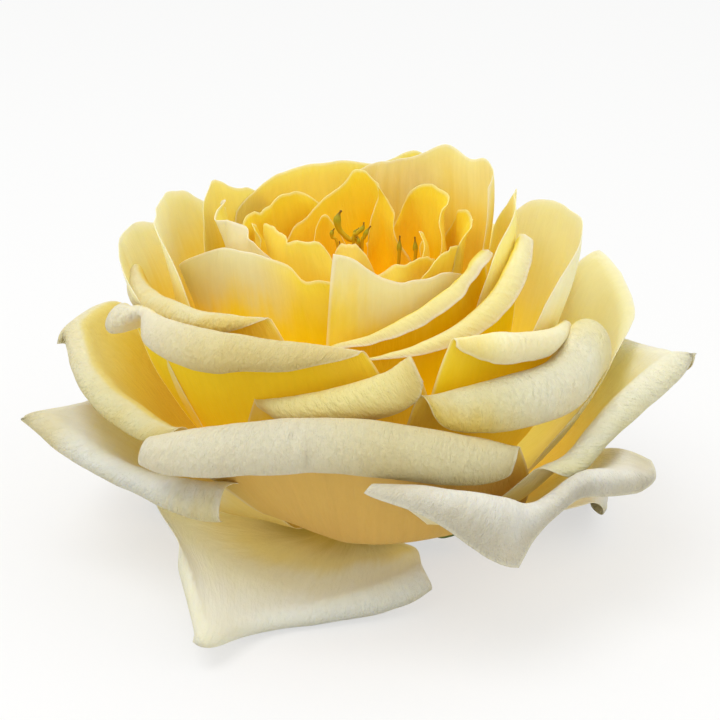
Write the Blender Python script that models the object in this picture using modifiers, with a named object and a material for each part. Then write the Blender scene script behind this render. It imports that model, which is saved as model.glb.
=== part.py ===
"""Open garden rose bloom, cut just below its hip, resting on its turned-back outer petals.

Every petal is a flat sheet (a across, b up from its claw) laid on a family of nested bowl shapes
called shells. Shell 0 is the upright heart and shell 1.1 turns right down below the bloom. A petal
can be creased: past a crease line its sheet rolls outward and under. Lengths are millimetres here
and are turned into metres when a mesh is made. The front of the bloom faces -Y.
"""
import math
import bpy
import bmesh
import numpy as np

MM = 0.001
PETAL_THICK = 0.35
SEPAL_THICK = 0.6

# Whole bloom: leans a little to its left, then stands with its lowest point on z = 0.
LEAN_DEG = 4.5
LEAN_PIVOT_Z = 6.0
STAND = (2.93, -0.14, 2.61)

# Shell number, where its petals start (radius, height), and the rise angle at each arc step.
ARC_STEPS = (0.0, 15.0, 30.0, 45.0, 60.0, 80.0)
SHELLS = (
    (-0.10, 1.5, 12.8, (68, 86, 94, 98, 102, 106)),
    (0.00, 2.2, 12.4, (50, 78, 90, 93, 96, 98)),
    (0.15, 3.1, 11.7, (32, 64, 84, 89, 90, 92)),
    (0.30, 4.1, 10.9, (20, 52, 78, 85, 86, 86)),
    (0.45, 5.2, 9.9, (8, 34, 64, 76, 77, 75)),
    (0.60, 6.2, 8.9, (2, 24, 54, 66, 66, 60)),
    (0.75, 7.1, 7.9, (-2, 16, 45, 56, 54, 46)),
    (0.90, 8.0, 6.8, (-4, 10, 33, 45, 40, 28)),
    (1.00, 8.6, 6.0, (-5, 2, 15, 18, 8, -4)),
    (1.10, 9.1, 5.2, (-6, -7, -12, -18, -28, -36)),
    (1.25, 9.8, 3.9, (-18, -27, -36, -44, -52, -60)),
    (1.40, 10.4, 2.6, (-30, -40, -48, -54, -60, -66)),
)
SHELL_LOW, SHELL_HIGH, SHELL_STEP = -0.10, 1.40, 0.01
ARC_LOW, ARC_HIGH, ARC_STEP = -3.0, 84.0, 0.5

# Every petal keeps its claw on its own root shell up to LEAVE_FROM and is on its own shell by LEAVE_TO.
LEAVE_FROM, LEAVE_TO = 1.0, 16.0

# Rows of a petal's mesh are this much closer together at its claw and its rim.
ROW_PULL = 0.4


def crease(start, end, r, turn, bow=0.0):
    """A crease from start to end (a, b); the sheet beyond it rolls under with radius r, to turn degrees."""
    radii = r if isinstance(r, tuple) else (r, r)
    return dict(start=start, end=end, radii=radii, turn=turn, bow=bow)


def petal(name, az, shell, **shape):
    """One petal: az is the way it faces, seen from above, with 270 at the front."""
    row = dict(name=name, az=az, shell=shell, layer=shell, length=60.0, width=24.0, claw=2.2,
               widest=0.72, top_width=0.86, rounding=0.16, rounding_power=3.0, tip=0.0, skew=0.0,
               tilt=0.0, cup=0.0, droop=0.0, dent=(0.0, 0.0, 0.3), wrap=0.0, creases=(),
               cells=(6, 7), ends=(0.45, 0.45), blunt=4, taper=(), rim=((-1, 0), (1, 0)), moves=())
    row.update(shape)
    return row


GUARDS = (
    petal("guard_front", 254, 1.09, droop=0.02, tilt=0.02, cup=-0.16, length=48, width=24, claw=5.5,
          widest=(0.42, 1.3), wrap=2.2, ends=(0.7, 0.8),
          creases=(crease((-30, 32), (-14, 42), (2.2, 1.6), 200, -1),
                   crease((-14, 42), (18, 21), (1.6, 3.0), 200, -4)),
          moves=((-0.55, 43, 0.2, 9, (0.0, -7.5, 0.4)), (1.0, 18, 0.5, 10, (-3.0, -1.0, -2.0)),
                 (0.9, 27, 0.3, 6, (0.5, 0, 0.3)), (0.0, 38, 0.8, 14, (0, 0, 0.7)), (-1.0, 24, 0.5, 8, (-9, 0, 6.5)))),
    petal("guard_left", 206, 0.81, droop=0.10, tilt=0.03, cup=-0.06, length=60, width=27, widest=(0.72, 1.35),
          wrap=2.6, ends=(0.4, 0.5),
          creases=(crease((-24, 46), (-12, 58.5), (2.5, 2.2), 200, -1),
                   crease((-12, 58.5), (26, 38), (2.2, 2.8), 210, -7.5)),
          moves=((0.45, 44, 0.5, 16, (0, 0, 4.2)), (1.0, 27, 0.45, 12, (-2, 0, 5.0)),
                 (1.0, 14, 0.7, 8, (0, 0, 3.0)))),
    petal("guard_right", 303, 0.94, droop=0.05, tilt=0.04, cup=-0.13, dent=(0.03, 0.35, 0.3), length=55,
          width=27, widest=(1.3, 0.72), wrap=2.4, ends=(0.25, 0.1), blunt=2,
          creases=(crease((-29, 50), (-5, 52), (2.4, 3.5), 135, -1),
                   crease((-5, 52), (21, 58), (3.5, 2.2), 135, -9)),
          moves=((-0.35, 52, 0.5, 14, (0, 0, 7.0)), (-1.0, 52, 0.25, 9, (-3.5, 0, -1.0)), (0.4, 52, 0.35, 12, (-1.0, 0, 5.0)), (1.0, 52, 0.3, 14, (0, 0, -2.0)),
                 (-1.0, 30, 0.7, 12, (5.5, 2, 1.5)), (-0.5, 20, 1.0, 9, (2.0, 0, 0)),
                 (-0.1, 56, 0.35, 10, (-3.5, 0, 2.0)), (1.0, 58, 0.2, 7, (1.2, 0, -1.0)))),
    petal("guard_back_right", 24, 1.094, cup=-0.03, length=50, width=22, wrap=1.8,
          creases=(crease((-24, 32), (0, 40), 3.0, 180), crease((0, 40), (24, 32), 3.0, 180))),
    petal("guard_back", 88, 0.98, cup=-0.03, length=50, width=21, wrap=1.8,
          creases=(crease((-25, 30), (0, 40), 3.0, 180), crease((0, 40), (25, 30), 3.0, 180))),
    petal("guard_back_left", 138, 1.035, cup=-0.03, length=50, width=22, wrap=2.0,
          creases=(crease((-24, 31), (0, 39), 3.0, 180), crease((0, 39), (24, 31), 3.0, 180))),
)
OUTER = (
    petal("outer_front", 265, 0.59, tilt=0.03, cup=0.18, width=33, widest=(1.3, 0.8), wrap=3.3, ends=(0.3, 0.35),
          creases=(crease((-34, 49.5), (31, 48.5), (4.2, 4.3), 230, 3.0),),
          moves=((0.1, 18, 0.9, 10, (0, -0.5, 0.5)), (1.0, 48, 0.3, 14, (-2.3, 0, 0)),
                 (-1.0, 50, 0.3, 14, (-1.2, 0, 0)))),
    petal("outer_left", 196, 0.595, layer=0.57, droop=0.115, tilt=-0.02, cup=-0.08, length=68, width=23.5, wrap=2.2,
          ends=(0.4, 0.4),
          creases=(crease((-25, 52), (-12, 61), (3.0, 2.8), 180),
                   crease((-12, 61), (25, 46), (2.8, 2.4), 180, -4)),
          moves=((-1.0, 50, 0.5, 14, (0, 0, 2.0)), (-0.5, 64, 0.35, 12, (2.2, 0, -0.8)))),
    petal("outer_right_low", 338, 0.86, tilt=-0.06, cup=-0.08, dent=(0.06, -0.25, 0.35), length=70, width=24,
          wrap=2.5, ends=(0.5, 0.4),
          creases=(crease((-26, 45), (3, 65.2), (3.0, 2.2), 210, -7),
                   crease((3, 65.2), (24, 48), (2.2, 3.0), 210, -2)),
          moves=((0.15, 66, 0.4, 10, (0, 0, -2.6)), (-0.75, 50, 0.3, 10, (0, 0, 1.5)))),
    petal("outer_right", 313, 0.56, tilt=0.03, cup=0.02, length=66, width=19, wrap=2.4, ends=(0.2, 0.8),
          creases=(crease((-20, 52), (21, 50), (3.8, 4.4), 185),),
          moves=((0.9, 52, 0.35, 14, (-0.4, 0, 5.5)), (-0.9, 54, 0.3, 10, (-1.2, 0, -1.5)))),
    petal("outer_right_back", 357, 0.71, tilt=-0.04, length=62, width=20, widest=0.9, wrap=0.7,
          rim=((-1, -5), (-0.5, -4), (0, -2.4), (0.5, -2.5), (1, -1)),
          creases=(crease((-24, 48), (-2, 56), 3.0, 70), crease((-2, 56), (24, 60), 3.0, 70))),
    petal("outer_back_right", 38, 0.93, width=24, wrap=2.4, creases=(crease((-20, 50), (20, 50), 3.0, 200),)),
    petal("outer_back", 96, 0.84, width=26, wrap=2.4, creases=(crease((-20, 52), (20, 52), 3.0, 200),)),
    petal("outer_back_left", 150, 0.93, width=25, wrap=2.4, creases=(crease((-20, 47), (20, 47), 3.0, 200),)),
)
MIDDLE = (
    petal("middle_front", 262, 0.46, tilt=0.01, cup=0.02, length=62, width=18, wrap=2.4, ends=(0.4, 0.6), blunt=3,
          rim=((-1, 0), (0.5, 0), (1, -3)),
          creases=(crease((-15, 44), (15, 53), (2.4, 3.6), 180, -1.0),),
          moves=((-1.0, 46, 0.4, 14, (4.0, 0, 0)), (1.0, 56, 0.3, 14, (-2.0, 0, 0)))),
    petal("middle_front_left", 237, 0.43, tilt=-0.03, cup=0.035, length=62, width=24, wrap=2.4,
          ends=(0.7, 0.4), blunt=2,
          creases=(crease((-25, 58.5), (26, 51), (2.6, 2.8), 180, 1.0),)),
    petal("middle_left", 210, 0.4, tilt=-0.045, cup=0.01, length=65, width=23, wrap=3.0, ends=(0.1, 0.1), blunt=2,
          creases=(crease((-22, 57.5), (26, 52), 1.7, 140),)),
    petal("middle_front_right", 307, 0.385, length=59, width=19.5, wrap=2.7, ends=(0.1, 0.15), blunt=2,
          creases=(crease((-16, 46), (20, 61), (1.6, 2.4), 150, -3),)),
    petal("middle_right", 2, 0.45, tilt=-0.02, length=63, width=23,
          rim=((-1, 0), (-0.4, 0.5), (0.1, -1.5), (1, 0)),
          moves=((-0.4, 60, 0.4, 14, (2.5, 0, -0.5)),)),
    petal("middle_right_lip", 316, 0.525, tilt=0.01, length=59, width=16, wrap=2.4, ends=(0.1, 0.2), blunt=2,
          creases=(crease((-18, 58), (22, 50), 1.6, 140),),
          moves=((-0.2, 56, 0.7, 12, (0, 0, 1.2)),)),
    petal("middle_left_back", 178, 0.525, length=62, width=13),
    petal("middle_back_left", 130, 0.63, width=21, wrap=1.8, creases=(crease((-20, 56), (20, 56), 2.0, 100),)),
    petal("middle_back_right", 48, 0.62, width=22, wrap=1.8, creases=(crease((-20, 56), (20, 56), 2.0, 100),)),
    petal("middle_back", 88, 0.50, width=23, wrap=1.8, creases=(crease((-20, 57), (20, 57), 2.0, 100),)),
)
INNER = (
    petal("inner_front_left", 232, 0.22, layer=0.27, tilt=-0.05, cup=0.08, length=56, width=24, rounding=0.07,
          rim=((-1, -2.5), (-0.75, -2.5), (-0.5, -2.1), (-0.25, -2.1), (0, -1.7), (0.2, -4.2), (0.32, -6.6),
               (0.5, -6.2), (1, -5))),
    petal("inner_front_right", 303, 0.275, length=51, skew=-5, width=17, rounding=0.04, widest=0.5,
          rim=((-1, 3.4), (-0.75, 1.9), (-0.5, -0.8), (-0.25, -1.8), (0, -1.5), (0.3, 0), (0.6, 0.6), (1, 0))),
    petal("inner_front_lip", 292, 0.33, length=55, width=21, wrap=3.4, ends=(0.1, 0.2), blunt=2,
          creases=(crease((-12, 44), (24, 56), 1.2, 110),)),
    petal("inner_right", 348, 0.312, length=61, width=12.5),
    petal("inner_back", 92, 0.295, length=58.5, width=25, rounding=0.08,
          rim=((-1, 4), (-0.75, 3.8), (-0.5, 1), (0, 0), (1, 0))),
    petal("inner_back_right", 42, 0.25, length=61, width=20, rounding=0.08,
          rim=((-1, 1.5), (-0.6, 1), (-0.4, -0.5), (-0.1, 0.8), (0, 0), (0.25, -2), (0.5, -2.4), (1, -1)),
          moves=((-0.7, 58, 0.5, 20, (1.5, 0, 1.0)),)),
    petal("inner_back_left", 142, 0.26, length=59, width=13),
    petal("inner_left", 174, 0.38, length=64, width=16),
)
HEART = (
    petal("heart_left", 193, 0.19, tilt=-0.04, length=57, width=13, skew=-2, rounding=0.06,
          rim=((-1, 0), (-0.5, -1), (-0.2, -2.5), (0.1, -1), (0.5, -1.5), (1, -2.5))),
    petal("heart_front_left", 222, 0.09, tilt=0.02, length=52, width=13, skew=-2, rounding=0.10,
          rim=((-1, 0), (-0.5, -1.5), (-0.1, 0.5), (0.3, 4), (0.5, 4.5), (0.7, 1), (1, -3))),
    petal("heart_curl_left", 178, 0.115, length=51, width=8, rounding=0.15),
    petal("heart_arc", 112, 0.02, length=47, width=5.5, rounding=0.2, rounding_power=2.0),
    petal("heart_curl_right", 348, 0.08, length=47, width=7, rounding=0.2, rounding_power=2.0),
    petal("heart_back_left", 143, 0.155, tilt=-0.01, length=56, width=14, rounding=0.10,
          rim=((-1, -1), (-0.4, -3.5), (0, -5.5), (0.5, -4.5), (1, -8))),
    petal("heart_back", 104, 0.105, tilt=-0.02, length=54, width=12, rounding=0.05,
          rim=((-1, 1.5), (-0.6, 1), (-0.2, -2.5), (0.3, -6), (1, -9))),
    petal("heart_lance", 52, 0.04, length=51.5, width=6.0, rounding=0.22, rounding_power=1.1, widest=0.6,
          top_width=0.6),
    petal("heart_hood", 27, 0.15, cup=-0.01, length=53.5, width=12, rounding_power=2.2),
    petal("heart_right", 2, 0.22, tilt=-0.01, length=52, width=11, rounding=0.15),
    petal("heart_right_front", 335, 0.175, length=49, width=11, skew=-2),
    petal("heart_front", 300, 0.13, length=46, width=12.5, skew=2, rounding=0.08),
    petal("heart_tip", 276, 0.03, length=48, width=6.5, rounding=0.20, rounding_power=2.0),
)
GRIDS = ((GUARDS, (8, 11)), (OUTER, (8, 11)), (MIDDLE, (6, 10)), (INNER, (6, 8)), (HEART, (4, 6)))
for group, cells in GRIDS:
    for row in group:
        row["cells"] = cells
for row in HEART:
    row["claw"] = 1.5
PETALS = GUARDS + OUTER + MIDDLE + INNER + HEART

# How much further out a petal's claw sits than one it overlaps, by the angle between them.
STACKING = ((60, 0.068), (85, 0.05), (115, 0.032))


def stack_roots(petals):
    """Work outward from the heart: each claw goes just outside the claws it overlaps."""
    placed = []
    for p in sorted(petals, key=lambda row: row["layer"]):
        root = SHELL_LOW
        for other in placed:
            apart = abs((p["az"] - other["az"] + 180) % 360 - 180)
            for limit, room in STACKING:
                if apart < limit:
                    root = max(root, other["root"] + room)
                    break
        p["root"] = root
        placed.append(p)


stack_roots(PETALS)


# ---- shells ---------------------------------------------------------------------------------

def smooth_table(x, xs, ys):
    """Smooth curve through the rows ys given at xs, read at x."""
    xs = np.asarray(xs, float)
    ys = np.asarray(ys, float)
    slope = np.gradient(ys, xs, axis=0)
    i = np.clip(np.searchsorted(xs, x) - 1, 0, len(xs) - 2)
    h = xs[i + 1] - xs[i]
    t = np.clip((x - xs[i]) / h, 0, 1)
    flat = t.shape + (1,) * (ys.ndim - 1)
    t = t.reshape(flat)
    h = h.reshape(flat)
    return ((2 * t**3 - 3 * t**2 + 1) * ys[i] + (t**3 - 2 * t**2 + t) * h * slope[i]
            + (3 * t**2 - 2 * t**3) * ys[i + 1] + (t**3 - t**2) * h * slope[i + 1])


def shell_profiles():
    """Radius and height of every shell at every arc length."""
    shells = np.arange(SHELL_LOW, SHELL_HIGH + SHELL_STEP / 2, SHELL_STEP)
    arcs = np.arange(ARC_LOW, ARC_HIGH + ARC_STEP / 2, ARC_STEP)
    numbers = [s[0] for s in SHELLS]
    angles = smooth_table(shells, numbers, [s[3] for s in SHELLS])
    angles = np.radians(smooth_table(arcs, ARC_STEPS, angles.T).T)
    start = smooth_table(shells, numbers, [(s[1], s[2]) for s in SHELLS])
    mid = (angles[:, 1:] + angles[:, :-1]) / 2
    zero = np.zeros((len(shells), 1))
    radius = np.hstack([zero, np.cumsum(np.cos(mid), 1) * ARC_STEP])
    height = np.hstack([zero, np.cumsum(np.sin(mid), 1) * ARC_STEP])
    k = int(round(-ARC_LOW / ARC_STEP))
    radius = radius - radius[:, k:k + 1] + start[:, :1]
    height = height - height[:, k:k + 1] + start[:, 1:]
    return radius, height


RADIUS, HEIGHT = shell_profiles()


def on_shell(shell, arc):
    """Radius and height on a shell at an arc length."""
    x = np.clip((shell - SHELL_LOW) / SHELL_STEP, 0, RADIUS.shape[0] - 1.001)
    y = np.clip((arc - ARC_LOW) / ARC_STEP, 0, RADIUS.shape[1] - 1.001)
    i = x.astype(int)
    j = y.astype(int)
    fx = x - i
    fy = y - j
    weights = ((1 - fx) * (1 - fy), fx * (1 - fy), (1 - fx) * fy, fx * fy)
    corners = ((i, j), (i + 1, j), (i, j + 1), (i + 1, j + 1))
    return [sum(w * table[c] for w, c in zip(weights, corners)) for table in (RADIUS, HEIGHT)]


def smoothstep(low, high, x):
    t = np.clip((x - low) / (high - low), 0, 1)
    return t * t * (3 - 2 * t)


# ---- petal sheets ---------------------------------------------------------------------------

def half_width(p, u, v):
    """Half the petal's width at height share v, on the side that u is on."""
    left, right = p["widest"] if isinstance(p["widest"], tuple) else (p["widest"], p["widest"])
    widest = np.where(u < 0, left, right)
    rise = np.sin(np.pi / 2 * np.clip(v / widest, 0, 1))**1.15
    wide = p["claw"] + (p["width"] - p["claw"]) * rise
    late = np.clip((v - widest) / np.maximum(1 - widest, 0.01), 0, 1)
    return wide * (1 - (1 - p["top_width"]) * late**2)


def crest_height(c, a):
    """Height of a crease's crest line at a."""
    s = np.clip((a - c["start"][0]) / (c["end"][0] - c["start"][0]), -0.3, 1.3)
    return c["start"][1] + (c["end"][1] - c["start"][1]) * s + c["bow"] * np.clip(1 - 4 * (s - 0.5)**2, -0.5, 1)


def roll_radius(p, c, a):
    """Radius of a crease's roll at a: it changes along the crease and tapers at the petal's sides."""
    s = np.clip((a - c["start"][0]) / (c["end"][0] - c["start"][0]), 0, 1)
    u = np.clip(a / p["width"], -1, 1)
    radius = c["radii"][0] + (c["radii"][1] - c["radii"][0]) * s
    if p["taper"]:
        return radius * smooth_table(u, [row[0] for row in p["taper"]], [row[1] for row in p["taper"]])
    end = np.where(u < 0, p["ends"][0], p["ends"][1])
    return radius * (1 - (1 - end) * np.abs(u)**p["blunt"])


def top_edge(p, u):
    """Length of the sheet at width share u."""
    point = p["tip"] * np.exp(-(u / 0.16)**2)
    if not p["creases"]:
        return p["length"] * (1 - p["rounding"] * np.abs(u)**p["rounding_power"]) + point + p["skew"] * u
    a = u * p["width"] * 0.95
    lines = [crest_height(c, a) + p["wrap"] * roll_radius(p, c, a) for c in p["creases"]]
    return np.min(lines, axis=0) + point


def rim_change(p, u):
    """Smooth change of the rim's height, from its rows of (width share, mm)."""
    us = [row[0] for row in p["rim"]]
    highs = [row[1] for row in p["rim"]]
    return smooth_table(np.clip(u, us[0], us[-1]), us, highs)


def rolled(p, a, b):
    """How far the creases move a point of the sheet: along a, along b, and outward below it."""
    if not p["creases"]:
        return np.zeros_like(a), np.zeros_like(a), np.zeros_like(a)
    blend = 0.9
    rows = []
    for c in p["creases"]:
        (a1, b1), (a2, b2) = c["start"], c["end"]
        length = math.hypot(a2 - a1, b2 - b1)
        na = (b1 - b2) / length
        nb = (a2 - a1) / length
        x = a - (a1 + a2) / 2
        y = b - (b1 + b2) / 2
        along = (x * nb - y * na) / length
        radius = roll_radius(p, c, a)
        bow = c["bow"] * np.clip(1 - 4 * along**2, -1, 1)
        rows.append((x * na + y * nb - bow + radius, radius, na, nb, math.radians(c["turn"])))
    top = np.max([r[0] for r in rows], axis=0)
    weights = [np.exp(blend * (r[0] - top)) for r in rows]
    total = sum(weights)
    past = np.maximum(top + np.log(total) / blend, 0)
    radius, na, nb, most = [sum(w * r[k] for w, r in zip(weights, rows)) / total for k in (1, 2, 3, 4)]
    size = np.maximum(np.hypot(na, nb), 1e-6)
    angle = np.minimum(past / radius, most)
    over = past - angle * radius
    inplane = radius * np.sin(angle) + over * np.cos(most) - past
    under = radius * (1 - np.cos(angle)) + over * np.sin(most)
    return inplane * na / size, inplane * nb / size, under


def sheet_point(p, a, b):
    """The unrolled sheet in space."""
    u = a / p["width"]
    v = b / p["length"]
    deep, where, spread = p["dent"]
    shell = (p["shell"] + p["tilt"] * u + p["cup"] * u * u + p["droop"] * smoothstep(0.45, 1.0, v)
             - deep * np.exp(-((u - where) / spread)**2) * smoothstep(0.2, 0.7, v))
    leave = smoothstep(LEAVE_FROM, LEAVE_TO, b)
    radius, height = on_shell(p["root"] + (shell - p["root"]) * leave, b)
    wrap = np.maximum(on_shell(p["root"] + (p["shell"] - p["root"]) * leave, b)[0], 2.2)
    az = math.radians(p["az"]) + a / wrap
    return np.stack([radius * np.cos(az), radius * np.sin(az), height], -1)


def lean(points):
    """Lean the bloom and stand it on the floor."""
    x = points[..., 0]
    y = points[..., 1]
    z = points[..., 2] - LEAN_PIVOT_Z
    c = math.cos(math.radians(LEAN_DEG))
    s = math.sin(math.radians(LEAN_DEG))
    return np.stack([x * c - z * s + STAND[0], y + STAND[1], x * s + z * c + LEAN_PIVOT_Z + STAND[2]], -1)


def petal_point(p, u, t):
    """Point of a petal: u runs -1 to 1 across it and t 0 to 1 from its claw to its rim."""
    v = t - ROW_PULL * np.sin(2 * math.pi * t) / (2 * math.pi)
    a = u * half_width(p, u, v)
    b = v * (top_edge(p, u) + rim_change(p, u))
    da, db, under = rolled(p, a, b)
    e = 0.25
    across = sheet_point(p, a + da + e, b + db) - sheet_point(p, a + da - e, b + db)
    upward = sheet_point(p, a + da, b + db + e) - sheet_point(p, a + da, b + db - e)
    out = np.cross(across, upward)
    out = out / np.maximum(np.linalg.norm(out, axis=-1, keepdims=True), 1e-9)
    point = lean(sheet_point(p, a + da, b + db) + out * under[..., None])
    for mu, mb, su, sb, by in p["moves"]:
        share = np.exp(-((u - mu) / su)**2 - ((b - mb) / sb)**2) * smoothstep(10, 25, b)
        point = point + share[..., None] * np.array(by)
    return point


# ---- objects --------------------------------------------------------------------------------

def clear_scene():
    for ob in list(bpy.data.objects):
        bpy.data.objects.remove(ob)
    for col in list(bpy.data.collections):
        bpy.data.collections.remove(col)


def material(name, colour, roughness):
    mat = bpy.data.materials.new(name)
    mat.use_nodes = True
    shader = mat.node_tree.nodes["Principled BSDF"]
    shader.inputs["Base Color"].default_value = (*colour, 1.0)
    shader.inputs["Roughness"].default_value = roughness
    mat.diffuse_color = (*colour, 1.0)
    return mat


def add_object(name, bm, mat, collection):
    mesh = bpy.data.meshes.new(name)
    bm.to_mesh(mesh)
    bm.free()
    mesh.materials.append(mat)
    for face in mesh.polygons:
        face.use_smooth = True
    ob = bpy.data.objects.new(name, mesh)
    collection.objects.link(ob)
    return ob


def thicken(ob, thickness, offset):
    mod = ob.modifiers.new("thickness", "SOLIDIFY")
    mod.thickness = thickness * MM
    mod.offset = offset
    mod.use_even_offset = True
    return mod


def add_petal(p, mat, collection):
    bm = bmesh.new()
    bmesh.ops.create_grid(bm, x_segments=p["cells"][0], y_segments=p["cells"][1], size=1.0)
    flat = np.array([v.co[:] for v in bm.verts])
    shaped = petal_point(p, flat[:, 0], (flat[:, 1] + 1) / 2) * MM
    for vert, co in zip(bm.verts, shaped):
        vert.co = co
    ob = add_object(p["name"], bm, mat, collection)
    thicken(ob, PETAL_THICK, 0.0)
    return ob


# Hip and cut stem, turned about the bloom's axis: (radius, height).
HIP_OUTLINE = ((9.7, 1.7), (9.3, 0.6), (8.2, -0.5), (6.6, -1.3), (4.8, -1.8), (3.5, -2.0), (3.3, -3.4))
HIP_TOP = ((0.7, 12.1), (2.6, 10.5), (6.2, 6.3), (9.2, 2.6))
HIP_SIDES = 20


def add_hip(mat, collection):
    """Receptacle, hip and the short cut end of the stem, grown as one piece."""
    outline = ((0.0, 12.3),) + HIP_TOP + HIP_OUTLINE
    bm = bmesh.new()
    chain = [bm.verts.new((r, 0.0, z)) for r, z in outline]
    edges = [bm.edges.new(pair) for pair in zip(chain[:-1], chain[1:])]
    bmesh.ops.spin(bm, geom=chain + edges, cent=(0, 0, 0), axis=(0, 0, 1), angle=2 * math.pi,
                   steps=HIP_SIDES, use_merge=True, use_duplicate=False)
    bmesh.ops.remove_doubles(bm, verts=bm.verts[:], dist=0.001)
    bmesh.ops.holes_fill(bm, edges=bm.edges[:], sides=0)
    for vert, co in zip(bm.verts, lean(np.array([v.co[:] for v in bm.verts]))):
        vert.co = (co[0] * MM, co[1] * MM, max(co[2], 0.0) * MM)
    bmesh.ops.recalc_face_normals(bm, faces=bm.faces[:])
    return add_object("hip_and_cut_stem", bm, mat, collection)


# Five short sepals folded down under the guard petals: they leave the hip and point down.
SEPAL_AZ = (272, 200, 128, 56, 344)
SEPAL_START = (10.1, 0.7)
SEPAL_LENGTH = 6.5
SEPAL_WIDTH = 2.6
SEPAL_DIP = (-22.0, -12.0)


def add_sepal(number, az, mat, collection):
    bm = bmesh.new()
    bmesh.ops.create_grid(bm, x_segments=4, y_segments=5, size=1.0)
    flat = np.array([v.co[:] for v in bm.verts])
    u = flat[:, 0]
    t = (flat[:, 1] + 1) / 2
    a = u * SEPAL_WIDTH * (1 - 0.75 * t**1.5)
    dip = np.radians(SEPAL_DIP[0] + (SEPAL_DIP[1] - SEPAL_DIP[0]) * t)
    radius = SEPAL_START[0] + SEPAL_LENGTH * t * np.cos(dip)
    height = SEPAL_START[1] + SEPAL_LENGTH * t * np.sin(dip)
    turn = math.radians(az) + a / radius
    shaped = lean(np.stack([radius * np.cos(turn), radius * np.sin(turn), height], -1)) * MM
    for vert, co in zip(bm.verts, shaped):
        vert.co = co
    ob = add_object("sepal_%d" % number, bm, mat, collection)
    thicken(ob, SEPAL_THICK, 0.0)
    return ob


# Stalks of the heart, grown from one small square pad with four by four places, front row first.
# Each stalk leans away from the middle of the pad: tip radius, tip height and hook size.
PAD_HALF = 0.75
PAD_LOW, PAD_HIGH = 12.75, 13.35
STALK_WIDTH = 0.32
STALKS = (
    (2.8, 54.5, 1.2), (3.2, 52.0, 1.0), (3.0, 54.0, 1.2), (4.4, 50.0, 0.8),
    (3.4, 56.0, 1.5), (1.2, 55.0, 0.5), (1.3, 56.5, 0.5), (9.4, 50.5, 0.6),
    (3.8, 53.0, 1.0), (1.4, 54.0, 0.5), (1.6, 52.5, 0.5), (7.4, 51.5, 0.6),
    (4.2, 48.0, 0.7), (4.0, 46.0, 0.5), (3.6, 49.0, 0.6), (5.0, 47.0, 0.5),
)
STALK_STEPS = 5


def stalk_path(x, y, radius, height, hook, s):
    """Point at share s along a stalk that starts at (x, y) on the pad."""
    reach = math.hypot(x, y)
    out = reach + (radius - reach) * s**1.6 + hook * max(0.0, (s - 0.8) / 0.2)
    return x / reach * out, y / reach * out, PAD_HIGH + (height - PAD_HIGH) * s


def add_stalks(mat, collection):
    """Styles and stamens on their pad, as one piece."""
    bm = bmesh.new()
    bmesh.ops.create_grid(bm, x_segments=4, y_segments=4, size=PAD_HALF)
    for vert in bm.verts:
        vert.co.z = PAD_HIGH
    tops = bm.faces[:]
    bmesh.ops.solidify(bm, geom=tops, thickness=PAD_HIGH - PAD_LOW)
    bmesh.ops.recalc_face_normals(bm, faces=bm.faces[:])
    high = max(f.calc_center_median().z for f in bm.faces)
    tops = [f for f in bm.faces if f.calc_center_median().z > high - 0.01]
    tops.sort(key=lambda f: (round(f.calc_center_median().y, 3), round(f.calc_center_median().x, 3)))
    bmesh.ops.inset_individual(bm, faces=tops, thickness=0.03)
    for face, (radius, height, hook) in zip(tops, STALKS):
        centre = face.calc_center_median()
        x, y = centre.x, centre.y
        cap = face
        for step in range(1, STALK_STEPS + 1):
            s = step / STALK_STEPS
            cap = bmesh.ops.extrude_discrete_faces(bm, faces=[cap])["faces"][0]
            middle = cap.calc_center_median()
            px, py, pz = stalk_path(x, y, radius, height, hook, s)
            wide = STALK_WIDTH * (1.0 if s < 1 else 1.3)
            for vert in cap.verts:
                dx = math.copysign(wide / 2, vert.co.x - middle.x)
                dy = math.copysign(wide / 2, vert.co.y - middle.y)
                vert.co = (px + dx, py + dy, pz)
    for vert, co in zip(bm.verts, lean(np.array([v.co[:] for v in bm.verts])) * MM):
        vert.co = co
    bmesh.ops.recalc_face_normals(bm, faces=bm.faces[:])
    return add_object("styles_and_stamens", bm, mat, collection)


def main():
    clear_scene()
    collection = bpy.data.collections.new("rose_bloom")
    bpy.context.scene.collection.children.link(collection)
    pale = material("pale_petal", (0.80, 0.74, 0.50), 0.55)
    yellow = material("yellow_petal", (0.85, 0.66, 0.20), 0.55)
    gold = material("gold_petal", (0.85, 0.50, 0.06), 0.5)
    green = material("green_calyx", (0.16, 0.28, 0.07), 0.6)
    olive = material("olive_stalk", (0.30, 0.28, 0.05), 0.6)
    for group, mat in ((GUARDS, pale), (OUTER, pale), (MIDDLE, yellow), (INNER, yellow), (HEART, gold)):
        for p in group:
            add_petal(p, mat, collection)
    add_hip(green, collection)
    for number, az in enumerate(SEPAL_AZ, start=1):
        add_sepal(number, az, green, collection)
    add_stalks(olive, collection)


main()
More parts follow.
